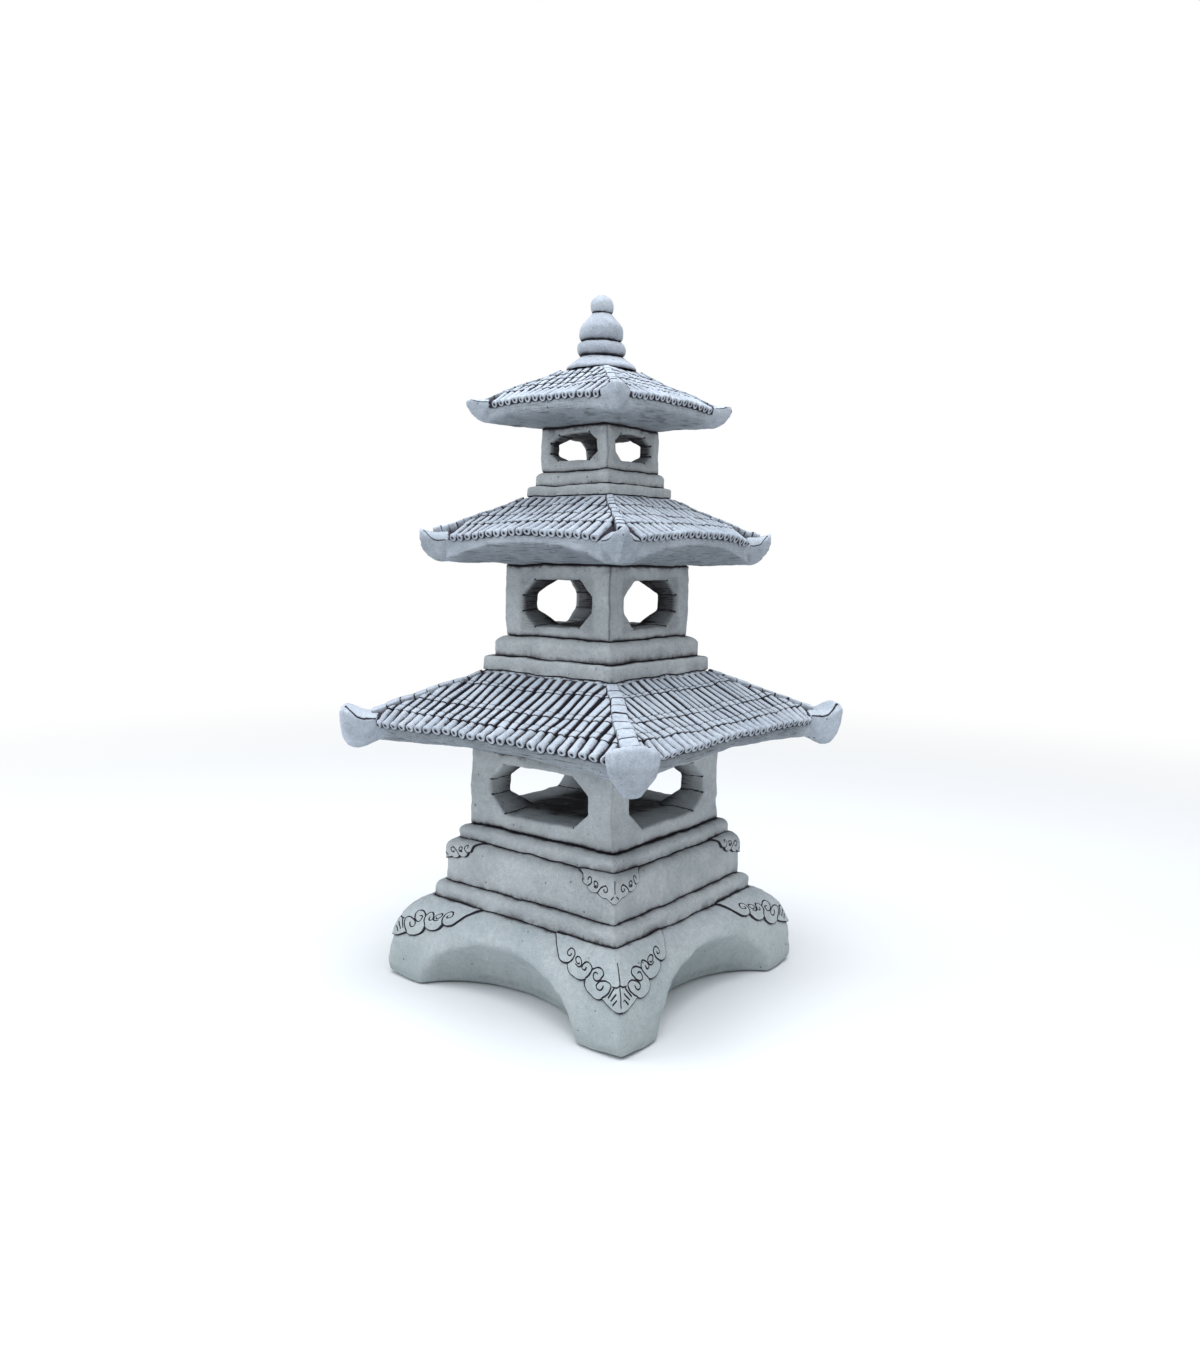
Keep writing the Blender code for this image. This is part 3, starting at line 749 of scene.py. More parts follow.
roofs = {
    "lower": {
        "top": 0.4608, "topHalf": 0.1225, "eaveHalf": 0.2480,
        "tileFoot": (0.3860, 0.3795), "tileHead": (0.3965, 0.3905),
        "hipWidth": 0.0180, "hipLow": 0.4035, "hipCut": 0.3220,
        "columns": (25, 27), "rowHalf": (0.2075, 0.2085),
        "courses": ((0.027, 0.0060), (0.072, 0.0095), (0.103, 0.0120)),
        "rollShare": (0.75, 0.72), "rollHeight": 0.0066, "sink": 0.0072, "lapStain": 0.95,
        "endSize": (0.0072, 0.0061), "endDrop": 0.0072, "hole": 0.0013,
        "ridgeStart": 0.1705, "ridgeEnd": 0.3285, "ridgeWidth": (0.0160, 0.0240),
        "ridgeHeight": (0.0038, 0.0040), "lastRise": 0.0, "saddles": 8, "grid": 0.0031,
        "lineScale": 1.0, "hornGap": -0.0010, "prowDark": 0.0, "fasciaDark": 0.56,
        "endOverhang": 0.0045, "stainAndShadeTop": (1.02, 0.90), "valley": 0.0011, "hornShoulder": 0.86,
        "horn": ((-0.0300, 0.0500, 0.3620, 0.3950, 1.0), (-0.0040, 0.0560, 0.3580, 0.4000, 1.0),
                 (0.0080, 0.0600, 0.3535, 0.4005, 1.0), (0.0180, 0.0630, 0.3490, 0.4005, 1.0),
                 (0.0280, 0.0655, 0.3462, 0.4032, 1.0), (0.0360, 0.0665, 0.3470, 0.4076, 1.0),
                 (0.0425, 0.0655, 0.3500, 0.4112, 1.0), (0.0475, 0.0630, 0.3560, 0.4118, 1.0),
                 (0.0512, 0.0570, 0.3620, 0.4105, 1.0), (0.0532, 0.0500, 0.3680, 0.4070, 1.0)),
    },
    "middle": {
        "top": 0.7124, "topHalf": 0.0765, "eaveHalf": 0.1740,
        "tileFoot": (0.6560, 0.6465), "tileHead": (0.6660, 0.6565),
        "hipWidth": 0.0140, "hipLow": 0.6655, "hipCut": 0.2200,
        "columns": (19, 19), "rowHalf": (0.1280, 0.1280),
        "courses": ((0.023, 0.0050), (0.047, 0.0060), (0.070, 0.0070)),
        "rollShare": (0.71, 0.70), "rollHeight": 0.0066, "sink": 0.0071, "lapStain": 0.45,
        "endSize": (0.0061, 0.0058), "endDrop": 0.0070, "hole": 0.0012,
        "ridgeStart": 0.1068, "ridgeEnd": 0.2390, "ridgeWidth": (0.0090, 0.0125),
        "ridgeHeight": (0.0032, 0.0058), "lastRise": 0.0020, "saddles": 12, "grid": 0.0025,
        "endOverhang": 0.0040, "stainAndShadeTop": (0.88, 0.88), "valley": 0.0012, "hornShoulder": 0.74,
        "lineScale": 1.5, "hornGap": 0.0030, "prowDark": 0.24, "fasciaDark": 0.26,
        "horn": ((-0.0220, 0.0460, 0.6260, 0.6560, 1.1), (-0.0030, 0.0550, 0.6195, 0.6598, 1.15),
                 (0.0070, 0.0480, 0.6180, 0.6598, 1.0), (0.0160, 0.0390, 0.6195, 0.6598, 0.7),
                 (0.0240, 0.0300, 0.6240, 0.6605, 0.45), (0.0310, 0.0220, 0.6300, 0.6622, 0.4),
                 (0.0370, 0.0155, 0.6380, 0.6645, 0.5), (0.0407, 0.0105, 0.6445, 0.6659, 0.7),
                 (0.0425, 0.0060, 0.6510, 0.6660, 1.0)),
    },
    "upper": {
        "top": 0.8930, "topHalf": 0.0420, "eaveHalf": 0.1290,
        "tileFoot": (0.8390, 0.8340), "tileHead": (0.8480, 0.8430),
        "hipWidth": 0.0110, "hipLow": 0.8495, "hipCut": 0.1620,
        "columns": (15, 15), "rowHalf": (0.0910, 0.0910),
        "courses": ((0.014, 0.0035), (0.029, 0.0040), (0.044, 0.0045), (0.060, 0.0050)),
        "rollShare": (0.76, 0.80), "rollHeight": 0.0048, "sink": 0.0052, "lapStain": 0.85,
        "endSize": (0.0051, 0.0053), "endDrop": 0.0056, "hole": 0.0009,
        "ridgeStart": 0.0560, "ridgeEnd": 0.1700, "ridgeWidth": (0.0090, 0.0120),
        "ridgeHeight": (0.0020, 0.0024), "lastRise": 0.0, "saddles": 7, "grid": 0.0021,
        "endOverhang": 0.0035, "stainAndShadeTop": (0.95, 0.85), "valley": 0.0004, "hornShoulder": 0.88,
        "lineScale": 1.8, "hornGap": 0.0015, "prowDark": 0.16, "fasciaDark": 0.42,
        "horn": ((-0.0180, 0.0370, 0.8210, 0.8462, 1.1), (-0.0020, 0.0440, 0.8170, 0.8482, 1.1),
                 (0.0060, 0.0410, 0.8170, 0.8486, 1.0), (0.0140, 0.0350, 0.8200, 0.8489, 0.75),
                 (0.0210, 0.0270, 0.8255, 0.8491, 0.55), (0.0270, 0.0180, 0.8320, 0.8491, 0.6),
                 (0.0305, 0.0115, 0.8370, 0.8489, 0.8), (0.0325, 0.0055, 0.8410, 0.8485, 1.0)),
    },
}
corners = ("front_right", "back_right", "back_left", "front_left")
slopePower = 1.18  # how hollow the slope is
sweepPower = 2.2  # how late along a side the rows dip towards the hip
tileOverlap = 0.004  # how far a tile reaches under the next one up
tileDepth = 0.0025  # how far a roll reaches down into its bed
tileLift = 0.0008  # how far the lower end of a roll lies above its bed
saddleLap = 1.1  # the length of a saddle tile over the length that shows
slab = {
    "smoothing": 5,
    "rough": 0.0008,
    "eaveStain": 0.003,  # the stain's band below the tile ends
    "fasciaDepth": 0.015,
    "hornFrom": (-0.03, 0.012),  # where the dark of the eave gives way to that of the horn
    # painted shade on the soffit and on all that faces down
    "soffitShade": 0.50,
    "frontShade": 0.22,  # painted shade on the horn that faces the camera
}
# Each tile lies a little askew: how far it may turn and slide. It also varies in size.
askew = {"roll": (0.022, 0.0005), "eaveRoll": (0.02, 0.0003), "saddle": (0.03, 0.0005)}
tileVaries = {"width": (0.95, 1.05), "height": (0.93, 1.07)}


def hipLevel(roof, distance):
    # Level of the tile tops on the diagonal, this far from the roof's axis
    topDistance = roof["topHalf"] * root2 - roof["hipWidth"] / 2
    share = (distance - topDistance) / (roof["hipCut"] - topDistance)
    return blend(roof["top"], roof["hipLow"], share)


def tileLevel(roof, half, x):
    # Level of the tile tops on one side, this far out and this far along
    share = (half - roof["topHalf"]) / (roof["eaveHalf"] - roof["topHalf"])
    middle = blend(roof["tileHead"][0], roof["top"], max(0.0, 1 - share) ** slopePower)
    cutHalf = (roof["hipCut"] + roof["hipWidth"] / 2) / root2
    end = hipLevel(roof, min(half, cutHalf) * root2 - roof["hipWidth"] / 2)
    if half > cutHalf:
        end = blend(end, roof["tileHead"][1], (half - cutHalf) / (roof["eaveHalf"] - cutHalf))
    cut = max(roof["hipWidth"] / root2, 2 * half - roof["hipCut"] * root2)
    return blend(middle, end, min(1.0, abs(x) / (half - cut)) ** sweepPower)


hornSection = ((-0.42, 1.0), (0.42, 1.0), (1.0, None), (0.84, 0.42),
               (0.26, 0.0), (-0.26, 0.0), (-0.84, 0.42), (-1.0, None))


def makeHorn(roof):
    # A prow drawn out ring by ring, from inside the eave to its tip. A ring is its distance past
    # the cut corner, its width, its lowest and highest level, and how full its keel is.
    past, width, low, high, keel = roof["horn"][0]
    bpy.ops.mesh.primitive_circle_add(vertices=len(hornSection), fill_type="NGON")
    piece = bpy.context.object
    piece.name = "horn"
    for vert, (across, rise) in zip(piece.data.vertices, hornSection):
        rise = roof["hornShoulder"] if rise is None else rise
        vert.co = (across * width / 2, -roof["hipCut"] - past, blend(low, high, rise))
    openMesh(piece)
    bpy.ops.mesh.select_all(action="SELECT")
    for nextPast, nextWidth, nextLow, nextHigh, nextKeel in roof["horn"][1:]:
        y = -roof["hipCut"] - nextPast
        pullOut(0, past - nextPast, nextLow - low)
        lowest = (0, y, nextLow)
        scaleFrom(lowest, nextWidth / width, 1, (nextHigh - nextLow) / (high - low))
        pick("VERT", lambda vert: abs(vert.co.y - y) < hair
             and vert.co.z < blend(nextLow, nextHigh, 0.5))
        scaleFrom(lowest, nextKeel / keel, 1, 1)
        pick("FACE", lambda face: all(abs(vert.co.y - y) < hair for vert in face.verts))
        past, width, low, high, keel = nextPast, nextWidth, nextLow, nextHigh, nextKeel
    faceOutwards()
    closeMesh()
    return piece


def tongueAt(roof, vert):
    # How many millimetres a corner lies above the line along a horn's shoulders
    past = (abs(vert.co.x) + abs(vert.co.y)) / root2 - roof["hipCut"]
    tip = roof["horn"][-1][0]
    if past < 0.002 or past > tip - 0.005:
        return hornLine["away"]
    rise = blend(roof["hornShoulder"], 1.0, ramp(past, 0.45 * tip, 0.95 * tip))
    places, _, lows, highs, _ = zip(*roof["horn"])
    line = blend(np.interp(past, places, lows), np.interp(past, places, highs), rise)
    above = vert.co.z - line + hornLine["below"]
    return hornLine["level"] + 1000 * above * roof["lineScale"]


def makeSlab(storey, roof):
    # The tiles lie on a bed that is lower by their height and set back behind their round ends
    node = storey + "_roof"
    bed = copyNode(node, "bed")
    openMesh(bed)
    pick("VERT", lambda vert: vert.co.z > roof["tileHead"][1] - 0.0005
         and max(abs(vert.co.x), abs(vert.co.y)) > roof["topHalf"] + 0.001)
    bpy.ops.transform.translate(value=(0, 0, -roof["sink"]))
    pick("VERT", lambda vert: max(abs(vert.co.x), abs(vert.co.y)) > roof["eaveHalf"] - 0.0005)
    back = 1 - roof["endOverhang"] / roof["eaveHalf"]
    scaleFrom((0, 0, 0), back, back, 1)
    closeMesh()
    horns = [f"{storey}_horn_{corner}" for corner in corners]
    horn = makeHorn(roof)
    prows = [stampCopy(horn, Matrix.Rotation((0.25 + 0.5 * quarter) * math.pi, 4, "Z"))
             for quarter in range(4)]
    bpy.data.objects.remove(horn)
    piece = joinPieces([bed] + prows, "cast_" + node)
    meshEvenly(piece, roof["grid"], slab["smoothing"])
    paintShare(piece, "tongue", lambda vert: tongueAt(roof, vert))
    castByHand(piece, slab["rough"])

    def shareAt(vert):
        x, y, z = vert.co
        wide, narrow = max(abs(x), abs(y)), min(abs(x), abs(y))
        if (wide + narrow) / root2 > roof["hipCut"]:
            return 0.0
        lowest = blend(*roof["tileFoot"], (narrow / wide) ** sweepPower)
        if vert.normal.z > 0.3 and wide > roof["topHalf"] + 0.002:
            return 1.0
        band = clamp((z - lowest + slab["eaveStain"]) / slab["eaveStain"])
        return band if wide > roof["eaveHalf"] - slab["fasciaDepth"] else 0.0

    def grimeAndShadeAt(vert):
        # Painted shade on what faces down and on the horn that faces the camera; the fascia and
        # the lower horns are darker too
        x, y, z = vert.co
        past = (abs(x) + abs(y)) / root2 - roof["hipCut"]
        under = ramp(-vert.normal.z, 0.1, 0.8)
        fascia = 1 - ramp(past, *slab["hornFrom"])
        below = ramp(roof["tileFoot"][0] - z, -0.004, 0.004)
        front = blend(roof["fasciaDark"], 0.5, ramp(-vert.normal.z, 0.15, 0.55))
        nearest = max(roof["prowDark"], slab["frontShade"] if x > 0 > y else 0.0)
        return max(slab["soffitShade"] * under * (0.1 + 0.9 * fascia),
                   (front * fascia + nearest * (1 - fascia)) * below)

    paintShare(piece, "stain", shareAt)
    paintShare(piece, "grimeAndShade", grimeAndShadeAt)
    dress(piece, "roof_concrete", [node] + horns, 60)


def shapeRings(length, rings):
    # A tile's rings of corners, all but those at its two ends cut into it. Each is its place
    # along the tile, and the share of the width and of the height that it gets there.
    for place, _, _ in rings:
        if 0.0 < place < length:
            cutAcross((0, place, 0), (0, 1, 0))
    for place, width, height in rings:
        pick("VERT", lambda vert: abs(vert.co.y - place) < speck)
        scaleFrom((0, place, 0), width, 1, height)


def makeRoll(width, height, length, collar, stainAndShadeTop, lapStain):
    # One roll tile, from its lower end at the origin up to where the next one covers it:
    # a bar with a rounded back, and a thicker collar at its lower end
    full = length + tileOverlap
    deep = height + tileDepth
    unit = startCube("roll", (0, full / 2, height - deep / 2), width, full, deep)
    pick("EDGE", lambda edge: runsAlong(edge, 1) and edge.verts[0].co.z > 0.9 * height)
    bpy.ops.mesh.bevel(offset=0.36 * width, segments=3, profile=0.55)
    shapeRings(full, ((0.0, 0.93, 0.92), (0.0014, 1.07, 1.08), (collar - 0.0008, 1.05, 1.06),
                      (collar + 0.0007, 0.93, 0.90), (collar + 0.0026, 1.0, 1.0),
                      (length - 0.0012, 0.99, 0.98), (full, 0.92, 0.84)))
    closeMesh()

    def shareAt(vert):
        # Stain low on the flanks. Where it reaches higher, on the front and back sides, it also
        # paints the shade of the flanks that turn from the light
        low = clamp((stainAndShadeTop * height - vert.co.z) / (0.4 * height))
        neck = 0.63 * lapStain if abs(vert.co.y - collar - 0.0007) < speck else 0.0
        tucked = lapStain if vert.co.y > full - 0.001 else 0.0
        front = lapStain if vert.co.y < speck else 0.0
        return max(low, neck, tucked, front)

    paintShare(unit, "stain", shareAt)
    return unit


def makeEaveRoll(roof, length):
    # The last tile of a row: a full round end with a hole in its middle
    wide, high = roof["endSize"]
    full = length + tileOverlap
    bpy.ops.mesh.primitive_cylinder_add(vertices=12, radius=1, depth=full,
                                        location=(0, full / 2, 0),
                                        rotation=(math.pi / 2, 0, 0),
                                        scale=(wide, high, 1))
    unit = fixPlace(bpy.context.object, "eaveRoll")
    openMesh(unit)
    frontShare = 0.85
    shapeRings(full, ((0.0, frontShare, frontShare), (0.0012, 1.0, 1.0), (0.0050, 1.0, 1.0),
                      (0.0070, 0.93, 0.93), (full, 0.95, 1.12)))
    pick("FACE", lambda face: face.normal.y < -0.9)
    hole = roof["hole"]
    bpy.ops.mesh.extrude_region_move()
    scaleFrom((0, 0, 0), hole / (frontShare * wide), 1, hole / (frontShare * high))
    pullOut(0, 0.003, 0)
    closeMesh()

    def shareAt(vert):
        x, y, z = vert.co
        if math.hypot(x, z) < 1.5 * hole and y > 0.001:
            return 1.0
        if math.hypot(x, z) < 1.5 * hole:
            return 0.8
        if y < 0.001:
            return 0.0
        low = clamp((0.35 * high - z) / (0.5 * high))
        return low * (0.6 if y < 0.002 else 1.0)

    paintShare(unit, "stain", shareAt)
    return unit


def seatTile(roof, low, high, x, sink, lift=0.0):
    # Where a tile lies: its lower end low down the slope, its length up the slope
    start = Vector((x, -low, tileLevel(roof, low, x) - sink + lift))
    end = Vector((x, -high, tileLevel(roof, high, x) - sink))
    along = (end - start).normalized()
    beside = 0.004
    tilt = tileLevel(roof, low, x + beside) - tileLevel(roof, low, x - beside)
    across = Vector((1, 0, tilt / (2 * beside))).normalized()
    upward = across.cross(along).normalized()
    return turnTo(start, along.cross(upward), along, upward)


def jitter(kind):
    turn, slide = askew[kind]
    return (Matrix.Translation((dice.uniform(-slide, slide), dice.uniform(-slide, slide), 0))
            @ Matrix.Rotation(dice.uniform(-turn, turn), 4, "Z")
            @ Matrix.Rotation(dice.uniform(-turn, turn) / 2, 4, "Y")
            @ Matrix.Diagonal((dice.uniform(*tileVaries["width"]), 1,
                               dice.uniform(*tileVaries["height"]), 1)))


def tileSide(storey, roof, quarter):
    columns = roof["columns"][quarter % 2]
    rowHalf = roof["rowHalf"][quarter % 2]
    pitch = 2 * rowHalf / (columns - 1)
    parts = []

    def slopeLength(low, high):
        drop = tileLevel(roof, high, 0) - tileLevel(roof, low, 0)
        return math.hypot(low - high, drop)

    def layRow(unit, kind, low, high, widest, sink, lift=0.0):
        for column in range(columns):
            x = -rowHalf + column * pitch
            if abs(x) < widest:
                seat = seatTile(roof, low, high, x, sink, lift)
                parts.append(stampCopy(unit, seat @ jitter(kind)))
        bpy.data.objects.remove(unit)

    high = roof["topHalf"]
    for lowEdge, collar in roof["courses"]:
        low = roof["topHalf"] + lowEdge
        unit = makeRoll(roof["rollShare"][quarter % 2] * pitch, roof["rollHeight"],
                        slopeLength(low, high), collar, roof["stainAndShadeTop"][quarter % 2],
                        roof["lapStain"])
        layRow(unit, "roll", low, high, low - 0.5 * pitch, roof["sink"], tileLift)
        high = low
    low = roof["eaveHalf"]
    unit = makeEaveRoll(roof, slopeLength(low, high))
    layRow(unit, "eaveRoll", low, high, low, roof["endDrop"])
    tiles = joinPieces(parts, f"{storey}_tiles_{quarter + 1}")
    # Cut along both hips and in front of both horns
    openMesh(tiles)
    splay = (roof["ridgeWidth"][1] - roof["ridgeWidth"][0]) / 2
    splay /= roof["ridgeEnd"] - roof["ridgeStart"]
    for side in (-1, 1):
        # Beside a ridge stays a narrow stained valley
        hip = Vector((side, -1, 0)).normalized()
        inward = Vector((-side, -1, 0)).normalized()
        edge = hip * roof["ridgeStart"] + inward * (roof["ridgeWidth"][0] / 2 + roof["valley"])
        for point, normal in ((edge, inward - splay * hip),
                              (hip * (roof["hipCut"] - roof["hornGap"]), -hip)):
            cutAcross(point, normal, clear_inner=True, use_fill=True, threshold=hair)
    bpy.ops.mesh.select_all(action="SELECT")
    bpy.ops.mesh.fill_holes(sides=12)
    closeMesh()
    tiles.data.transform(Matrix.Rotation(quarter * math.pi / 2, 4, "Z"))
    castByHand(tiles)
    return tiles


def makeSaddle():
    # One saddle tile of unit width, length and height, its lower end at the origin
    unit = startCube("saddle", (0, 0.5, 0), 1, 1, 2)
    pick("EDGE", lambda edge: runsAlong(edge, 1) and edge.verts[0].co.z > 0.9)
    bpy.ops.mesh.bevel(offset=0.20, segments=3, profile=0.5)
    shapeRings(1.0, ((0.0, 0.97, 0.95), (0.05, 1.03, 1.01), (0.84, 0.97, 0.96),
                     (0.89, 0.96, 0.95), (1.0, 0.94, 0.90)))
    closeMesh()

    def shareAt(vert):
        # Dark at the foot, in the laps and at the front, half stained down the sides
        _, y, z = vert.co
        if z < 0.1 or y > 0.95:
            return 1.0
        if y > 0.87:
            return 0.9
        if y < 0.01:
            return 0.95
        return 0.34 if z < 0.85 else 0.2

    paintShare(unit, "stain", shareAt)
    return unit


def makeRidge(storey, roof, quarter, corner):
    # Saddle tiles lap each other from the horn up the hip
    node = f"{storey}_hip_ridge_{corner}"
    unit = makeSaddle()
    count = roof["saddles"]
    length = (roof["ridgeEnd"] - roof["ridgeStart"]) / count
    leg = 1 / root2
    parts = []
    for saddle in range(count):
        low = roof["ridgeStart"] + (saddle + 1) * length
        share = (saddle + 1) / count
        width = blend(*roof["ridgeWidth"], share)
        height = blend(*roof["ridgeHeight"], share) + roof["sink"]
        height += roof["lastRise"] if saddle == count - 1 else 0.0
        fall = hipLevel(roof, low - length) - hipLevel(roof, low)
        along = Vector((-leg * length, leg * length, fall)).normalized()
        across = Vector((leg, leg, 0))
        start = Vector((leg * low, -leg * low, hipLevel(roof, low) - roof["sink"]))
        seat = turnTo(start, across, along, across.cross(along))
        stretch = Matrix.Diagonal((width, saddleLap * math.hypot(length, fall), height, 1))
        parts.append(stampCopy(unit, seat @ jitter("saddle") @ stretch))
    bpy.data.objects.remove(unit)
    ridge = joinPieces(parts, "cast_" + node)
    ridge.data.transform(Matrix.Rotation(quarter * math.pi / 2, 4, "Z"))
    castByHand(ridge)
    dress(ridge, "roof_concrete", [node], 45)


for storey, roof in roofs.items():
    makeSlab(storey, roof)
    for quarter, corner in enumerate(corners):
        tiles = tileSide(storey, roof, quarter)
        dress(tiles, "roof_concrete", [], 40)
        makeRidge(storey, roof, quarter, corner)
    print(storey, "roof is tiled")


# Finial: a disc pulled up ring by ring to the turned outline

finial = {
    "finial_collar": ((0.0484, 0.8933), (0.0492, 0.8948), (0.0490, 0.8966), (0.0478, 0.8988),
                      (0.0455, 0.9013), (0.0425, 0.9038), (0.0390, 0.9063), (0.0352, 0.9088),
                      (0.0325, 0.9108), (0.0305, 0.9125)),
    "finial_ring": ((0.0280, 0.9128), (0.0300, 0.9142), (0.0318, 0.9160), (0.0330, 0.9185),
                    (0.0335, 0.9215), (0.0334, 0.9250), (0.0328, 0.9280), (0.0314, 0.9310),
                    (0.0290, 0.9334), (0.0270, 0.9340)),
    "finial_bulb": ((0.0255, 0.9343), (0.0275, 0.9360), (0.0292, 0.9385), (0.0302, 0.9415),
                    (0.0305, 0.9445), (0.0303, 0.9500), (0.0296, 0.9540), (0.0282, 0.9573),
                    (0.0262, 0.9602), (0.0239, 0.9631), (0.0216, 0.9659), (0.0193, 0.9686),
                    (0.0171, 0.9712), (0.0152, 0.9734), (0.0138, 0.9747)),
    "finial_tip": ((0.0138, 0.9750), (0.0150, 0.9762), (0.0159, 0.9782), (0.0164, 0.9812),
                   (0.0165, 0.9850), (0.0159, 0.9888), (0.0147, 0.9919), (0.0127, 0.9946),
                   (0.0100, 0.9970), (0.0070, 0.9987), (0.0036, 0.9997), (0.0012, 1.0000)),
}
finialRough = 0.0006


def makeTurned(node, outline):
    radius, level = outline[0]
    bpy.ops.mesh.primitive_circle_add(vertices=64, radius=radius, fill_type="NGON",
                                      location=(0, 0, level))
    piece = fixPlace(bpy.context.object, "cast_" + node)
    openMesh(piece)
    bpy.ops.mesh.select_all(action="SELECT")
    for wide, high in outline[1:]:
        pullOut(0, 0, high - level)
        scaleFrom((0, 0, high), wide / radius, wide / radius, 1)
        radius, level = wide, high
    faceOutwards()
    closeMesh()
    castByHand(piece, finialRough)
    dress(piece, "roof_concrete", [node], 50, finialConcrete)


for node, outline in finial.items():
    makeTurned(node, outline)


# Carved leaves over the corners of the foot and the dado: a thin plate drawn flat, with the
# scrolls cut into it, then bent over the corner. Drawn in millimetres: u from the corner edge
# along the face, v down the surface. A third value of 1 marks a sharp point of the outline.

leafCut = {"grid": 0.004, "rim": 0.0005, "lift": 0.0006}

footLeaf = {
    "slot": "foot_concrete",
    "chamfer": 0.0040,
    "thick": 0.0019,
    "groove": 0.0010,
    "outline": ((-3, 1.6, 1), (35, 1.4), (70, 1.8), (104, 2.4, 1), (105.4, 14),
                (104.5, 24), (104, 31), (102.5, 37), (98, 40.2), (91, 40.8), (86.5, 39.6, 1),
                (87.4, 45), (85, 50), (80, 53.6), (72, 55.2), (64, 54.6), (58.6, 52.4, 1),
                (60.2, 58.7), (57, 64.6), (50, 68.8), (41, 70.2), (35.5, 69.4), (31.6, 67.4, 1),
                (24, 72), (15, 75.6), (7.5, 77), (0, 76.5), (-3, 76, 1)),
    "lines": (
        ((86, 40), (80.5, 36), (75.6, 30.5), (73.6, 25.5), (75.4, 21), (79.6, 19.6), (84, 22),
         (86.8, 26.4), (85, 30), (81, 29.5), (79.8, 26.4)),
        ((58.4, 51), (52.5, 46), (47, 40), (45, 34.2), (48.2, 30.2), (54, 31.4), (60, 36.2),
         (62.2, 40.6), (59.2, 42), (55.4, 39.4), (54, 36.8)),
        ((46.5, 38.4), (40, 35), (32.5, 32.7), (26.6, 33.8), (25.2, 38), (29.4, 43.4),
         (35, 47.8), (40.4, 49.2), (44.2, 47.2), (43.6, 43), (39, 40), (35.6, 41)),
        ((31.6, 66.4), (24, 61.6), (17, 54), (15.6, 48.6), (21, 45.6), (29, 46.8), (36.4, 50.8),
         (39.4, 55.6), (35.8, 58.4), (29.6, 55.4), (27.4, 51.8)),
        ((10, 50.6), (21, 63.7)),
        ((7, 56), (17, 66)),
        ((6.5, 62.7), (14, 70.4)),
        ((0, 21), (0, 46), (0, 71.5)),
        ((0, 46), (6, 49), (13, 50)),
    ),
    "spirals": ((67.7, 33.0, 7.6),),
    # The surface under the leaf, as half widths and levels
    "surface": ((0.1720, 0.1175), (0.1780, 0.1175), (0.1880, 0.1115), (0.1985, 0.1015),
                (0.2060, 0.0920), (0.2105, 0.0820), (0.2150, 0.0690), (0.2195, 0.0530),
                (0.2235, 0.0340)),
}
dadoLeaf = {
    "slot": "body_concrete",
    "chamfer": 0.0028,
    "thick": 0.0019,
    "groove": 0.0009,
    "outline": ((-3, 2, 1), (30, 2.4), (60, 4.3, 1), (56.4, 9, 1), (54.2, 13), (55, 18),
                (53.4, 22.4), (48.4, 24, 1), (46.4, 28.4), (42, 31.4), (36, 32.2), (30, 30.6, 1),
                (27.4, 34), (22, 36.2), (15.6, 35.6, 1), (9, 38.6), (0, 41), (-3, 41, 1)),
    "lines": (
        ((46.4, 24.4), (41.4, 21), (39.2, 17), (41, 13.8), (44.4, 15), (46, 18)),
        ((29.4, 29.6), (25.8, 24.8), (21, 21.4), (16.2, 19.8), (13, 21.8), (14.2, 26),
         (17.8, 27.8), (19.8, 25.8), (18.2, 24.2)),
        ((0, 12.7), (0, 20), (0, 27)),
        ((2.5, 30), (8, 35.6)),
    ),
    "spirals": ((32.6, 20.4, 4.4),),
    "surface": ((0.1440, 0.2065),
                *((0.1455 + 0.0135 * math.sin(math.radians(turn)),
                   0.1930 + 0.0135 * math.cos(math.radians(turn))) for turn in range(0, 91, 15)),
                (0.1590, 0.1500)),
}


def drawCurve(name, points, closed):
    curve = bpy.data.curves.new(name, "CURVE")
    curve.dimensions = "2D" if closed else "3D"
    curve.resolution_u = 5
    spline = curve.splines.new("BEZIER")
    spline.bezier_points.add(len(points) - 1)
    spline.use_cyclic_u = closed
    for knot, point in zip(spline.bezier_points, points):
        knot.co = (point[0] / 1000, point[1] / 1000, 0)
        sharp = closed and len(point) > 2
        knot.handle_left_type = knot.handle_right_type = "VECTOR" if sharp else "AUTO"
    item = bpy.data.objects.new(name, curve)
    bpy.context.scene.collection.objects.link(item)
    return item


def curveToMesh(item, lift):
    showOnly(item)
    bpy.ops.object.convert(target="MESH")
    item = bpy.context.object
    item.data.transform(Matrix.Translation((0, 0, lift)))
    openMesh(item)
    mergeCorners(speck / 2)
    faceOutwards()
    closeMesh()
    return item


def spiralPoints(u, v, radius, steps=9):
    # A scroll that winds inwards to 38% of its radius, 53 degrees at each step
    points = []
    for step in range(steps + 1):
        reach = radius * (1 - 0.62 * step / steps)
        angle = step * math.pi / 3.4 + 0.6
        points.append((u + reach * math.cos(angle), v + reach * math.sin(angle)))
    return points


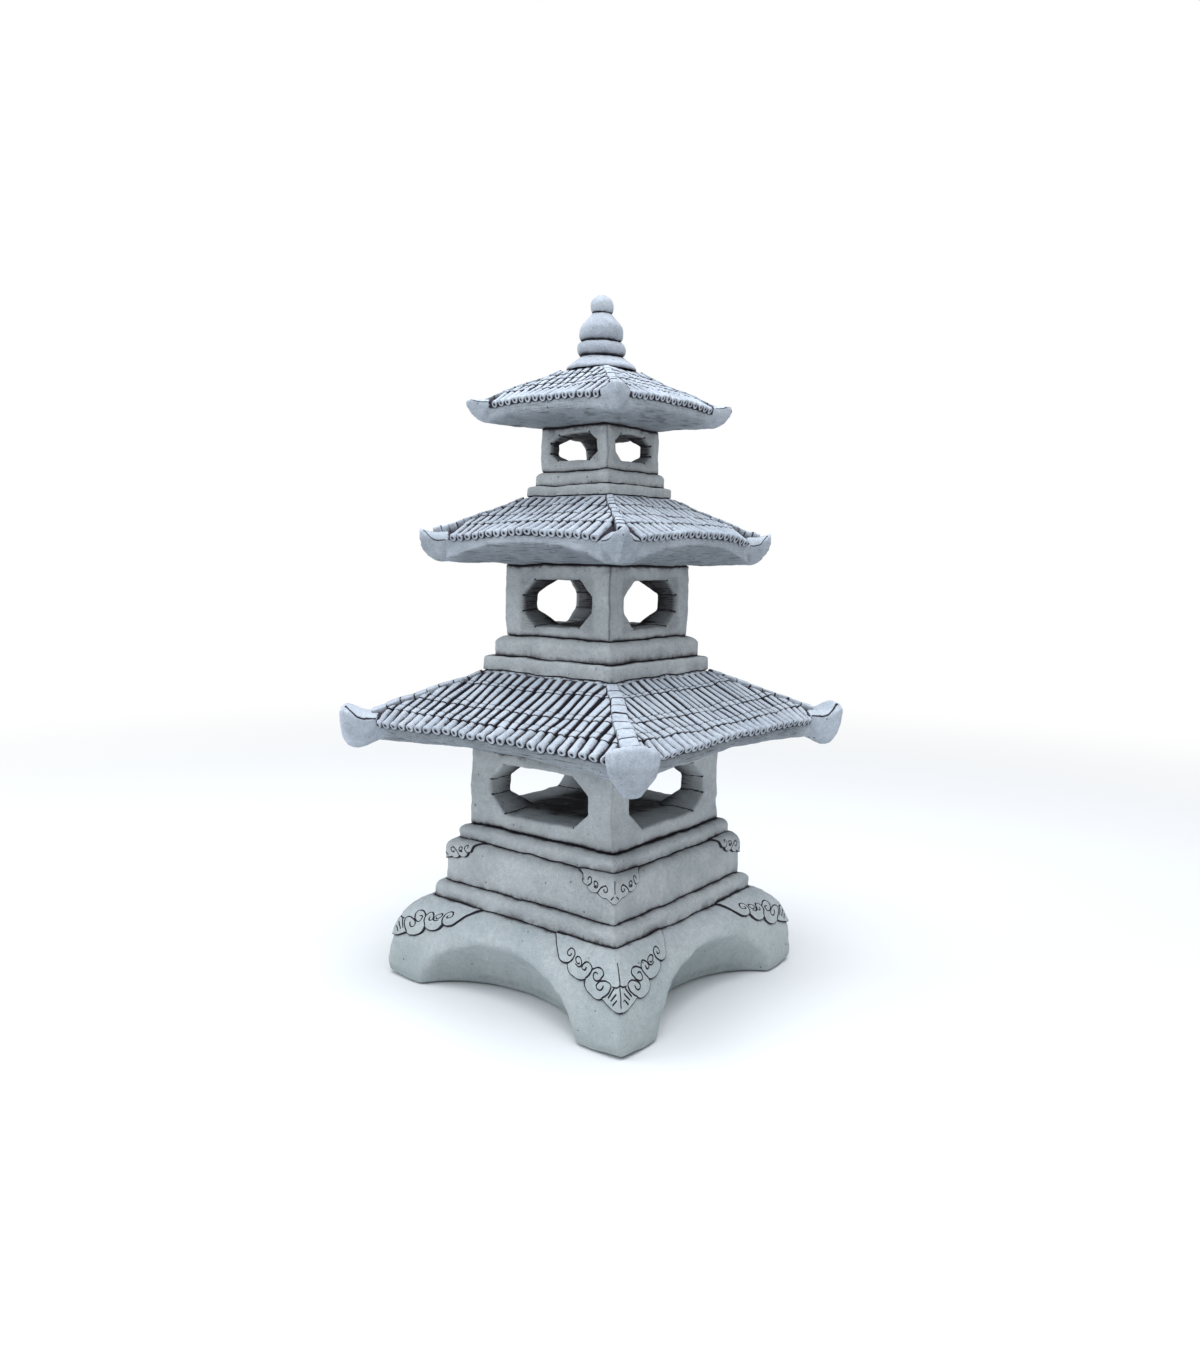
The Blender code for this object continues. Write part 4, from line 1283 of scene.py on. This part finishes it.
def carveLeaf(design):
    thick = design["thick"]
    rim = leafCut["rim"]
    plate = drawCurve("leaf", design["outline"], True)
    plate.data.fill_mode = "BOTH"
    plate.data.extrude = thick - rim
    plate = curveToMesh(plate, 0)
    openMesh(plate)
    pick("FACE", lambda face: face.normal.z > 0.9)
    bpy.ops.mesh.inset(thickness=2 * rim, depth=rim)
    for axis in (0, 1):
        reach = max(point[axis] for point in design["outline"]) / 1000
        for step in range(1, int(reach / leafCut["grid"]) + 1):
            cut = Vector((1 - axis, axis, 0))
            cutAcross(cut * step * leafCut["grid"], cut, threshold=hair)
    closeMesh()
    paths = list(design["lines"]) + [spiralPoints(*spiral) for spiral in design["spirals"]]
    grooves = []
    for path in paths:
        groove = drawCurve("groove", path, False)
        groove.data.bevel_depth = design["groove"]
        groove.data.bevel_resolution = 1
        groove.data.use_fill_caps = True
        grooves.append(curveToMesh(groove, thick))
    tool = joinPieces(grooves, "grooves")
    applyModifier(plate, "BOOLEAN", object=tool, operation="DIFFERENCE", solver="EXACT",
                  use_self=True)
    bpy.data.objects.remove(tool)
    openMesh(plate)
    cutAcross((0, 0, 0), (1, 0, 0), clear_inner=True, threshold=hair)
    closeMesh()
    # Stain fills the rim and the grooves, face by face
    stain = plate.data.attributes.new("stain", "FLOAT", "FACE")
    for face in plate.data.polygons:
        stain.data[face.index].value = 0.0 if face.center.z > thick - 0.00002 else 1.0
    print("leaf is carved,", len(plate.data.polygons), "faces")
    return plate


def bendLeaf(unit, name, design, quarter, corner):
    profile = design["surface"]
    chamfer = design["chamfer"]
    # How far down the surface under the leaf each of its points lies
    walked = [0.0]
    for start, end in zip(profile, profile[1:]):
        walked.append(walked[-1] + math.dist(start, end))
    wings = []
    for mirrored in (False, True):
        wing = stampCopy(unit, Matrix())
        for vert in wing.data.vertices:
            u, v, h = vert.co
            h += leafCut["lift"]
            place = max(1, min(len(walked) - 1, sum(1 for w in walked if w < v)))
            share = (v - walked[place - 1]) / (walked[place] - walked[place - 1])
            half = blend(profile[place - 1][0], profile[place][0], share)
            z = blend(profile[place - 1][1], profile[place][1], share)
            run = profile[place][0] - profile[place - 1][0]
            fall = profile[place - 1][1] - profile[place][1]
            length = math.hypot(run, fall)
            # The outer side of the plate lies along the surface's normal
            half += h * fall / length
            z += h * run / length
            turn = min(1.0, u / chamfer)
            x = half - 0.5 * chamfer - 0.5 * chamfer * turn - max(0.0, u - chamfer)
            y = -(half - 0.5 * chamfer * (1 - turn))
            vert.co = (-y, -x, z) if mirrored else (x, y, z)
        wings.append(wing)
    leaf = joinPieces(wings, f"{name}_{corner}")
    openMesh(leaf)
    mergeCorners(speck)
    faceOutwards()
    closeMesh()
    leaf.data.transform(Matrix.Rotation(quarter * math.pi / 2, 4, "Z"))
    castByHand(leaf)
    dress(leaf, design["slot"], [], 40)


for name, design in (("foot_leaf", footLeaf), ("dado_leaf", dadoLeaf)):
    unit = carveLeaf(design)
    for quarter, corner in enumerate(corners):
        bendLeaf(unit, name, design, quarter, corner)
    bpy.data.objects.remove(unit)
print("leaves are carved")


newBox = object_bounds()
print("boxes:", [tuple(round(v, 4) for v in corner) for corner in (*cadBox, *newBox)])
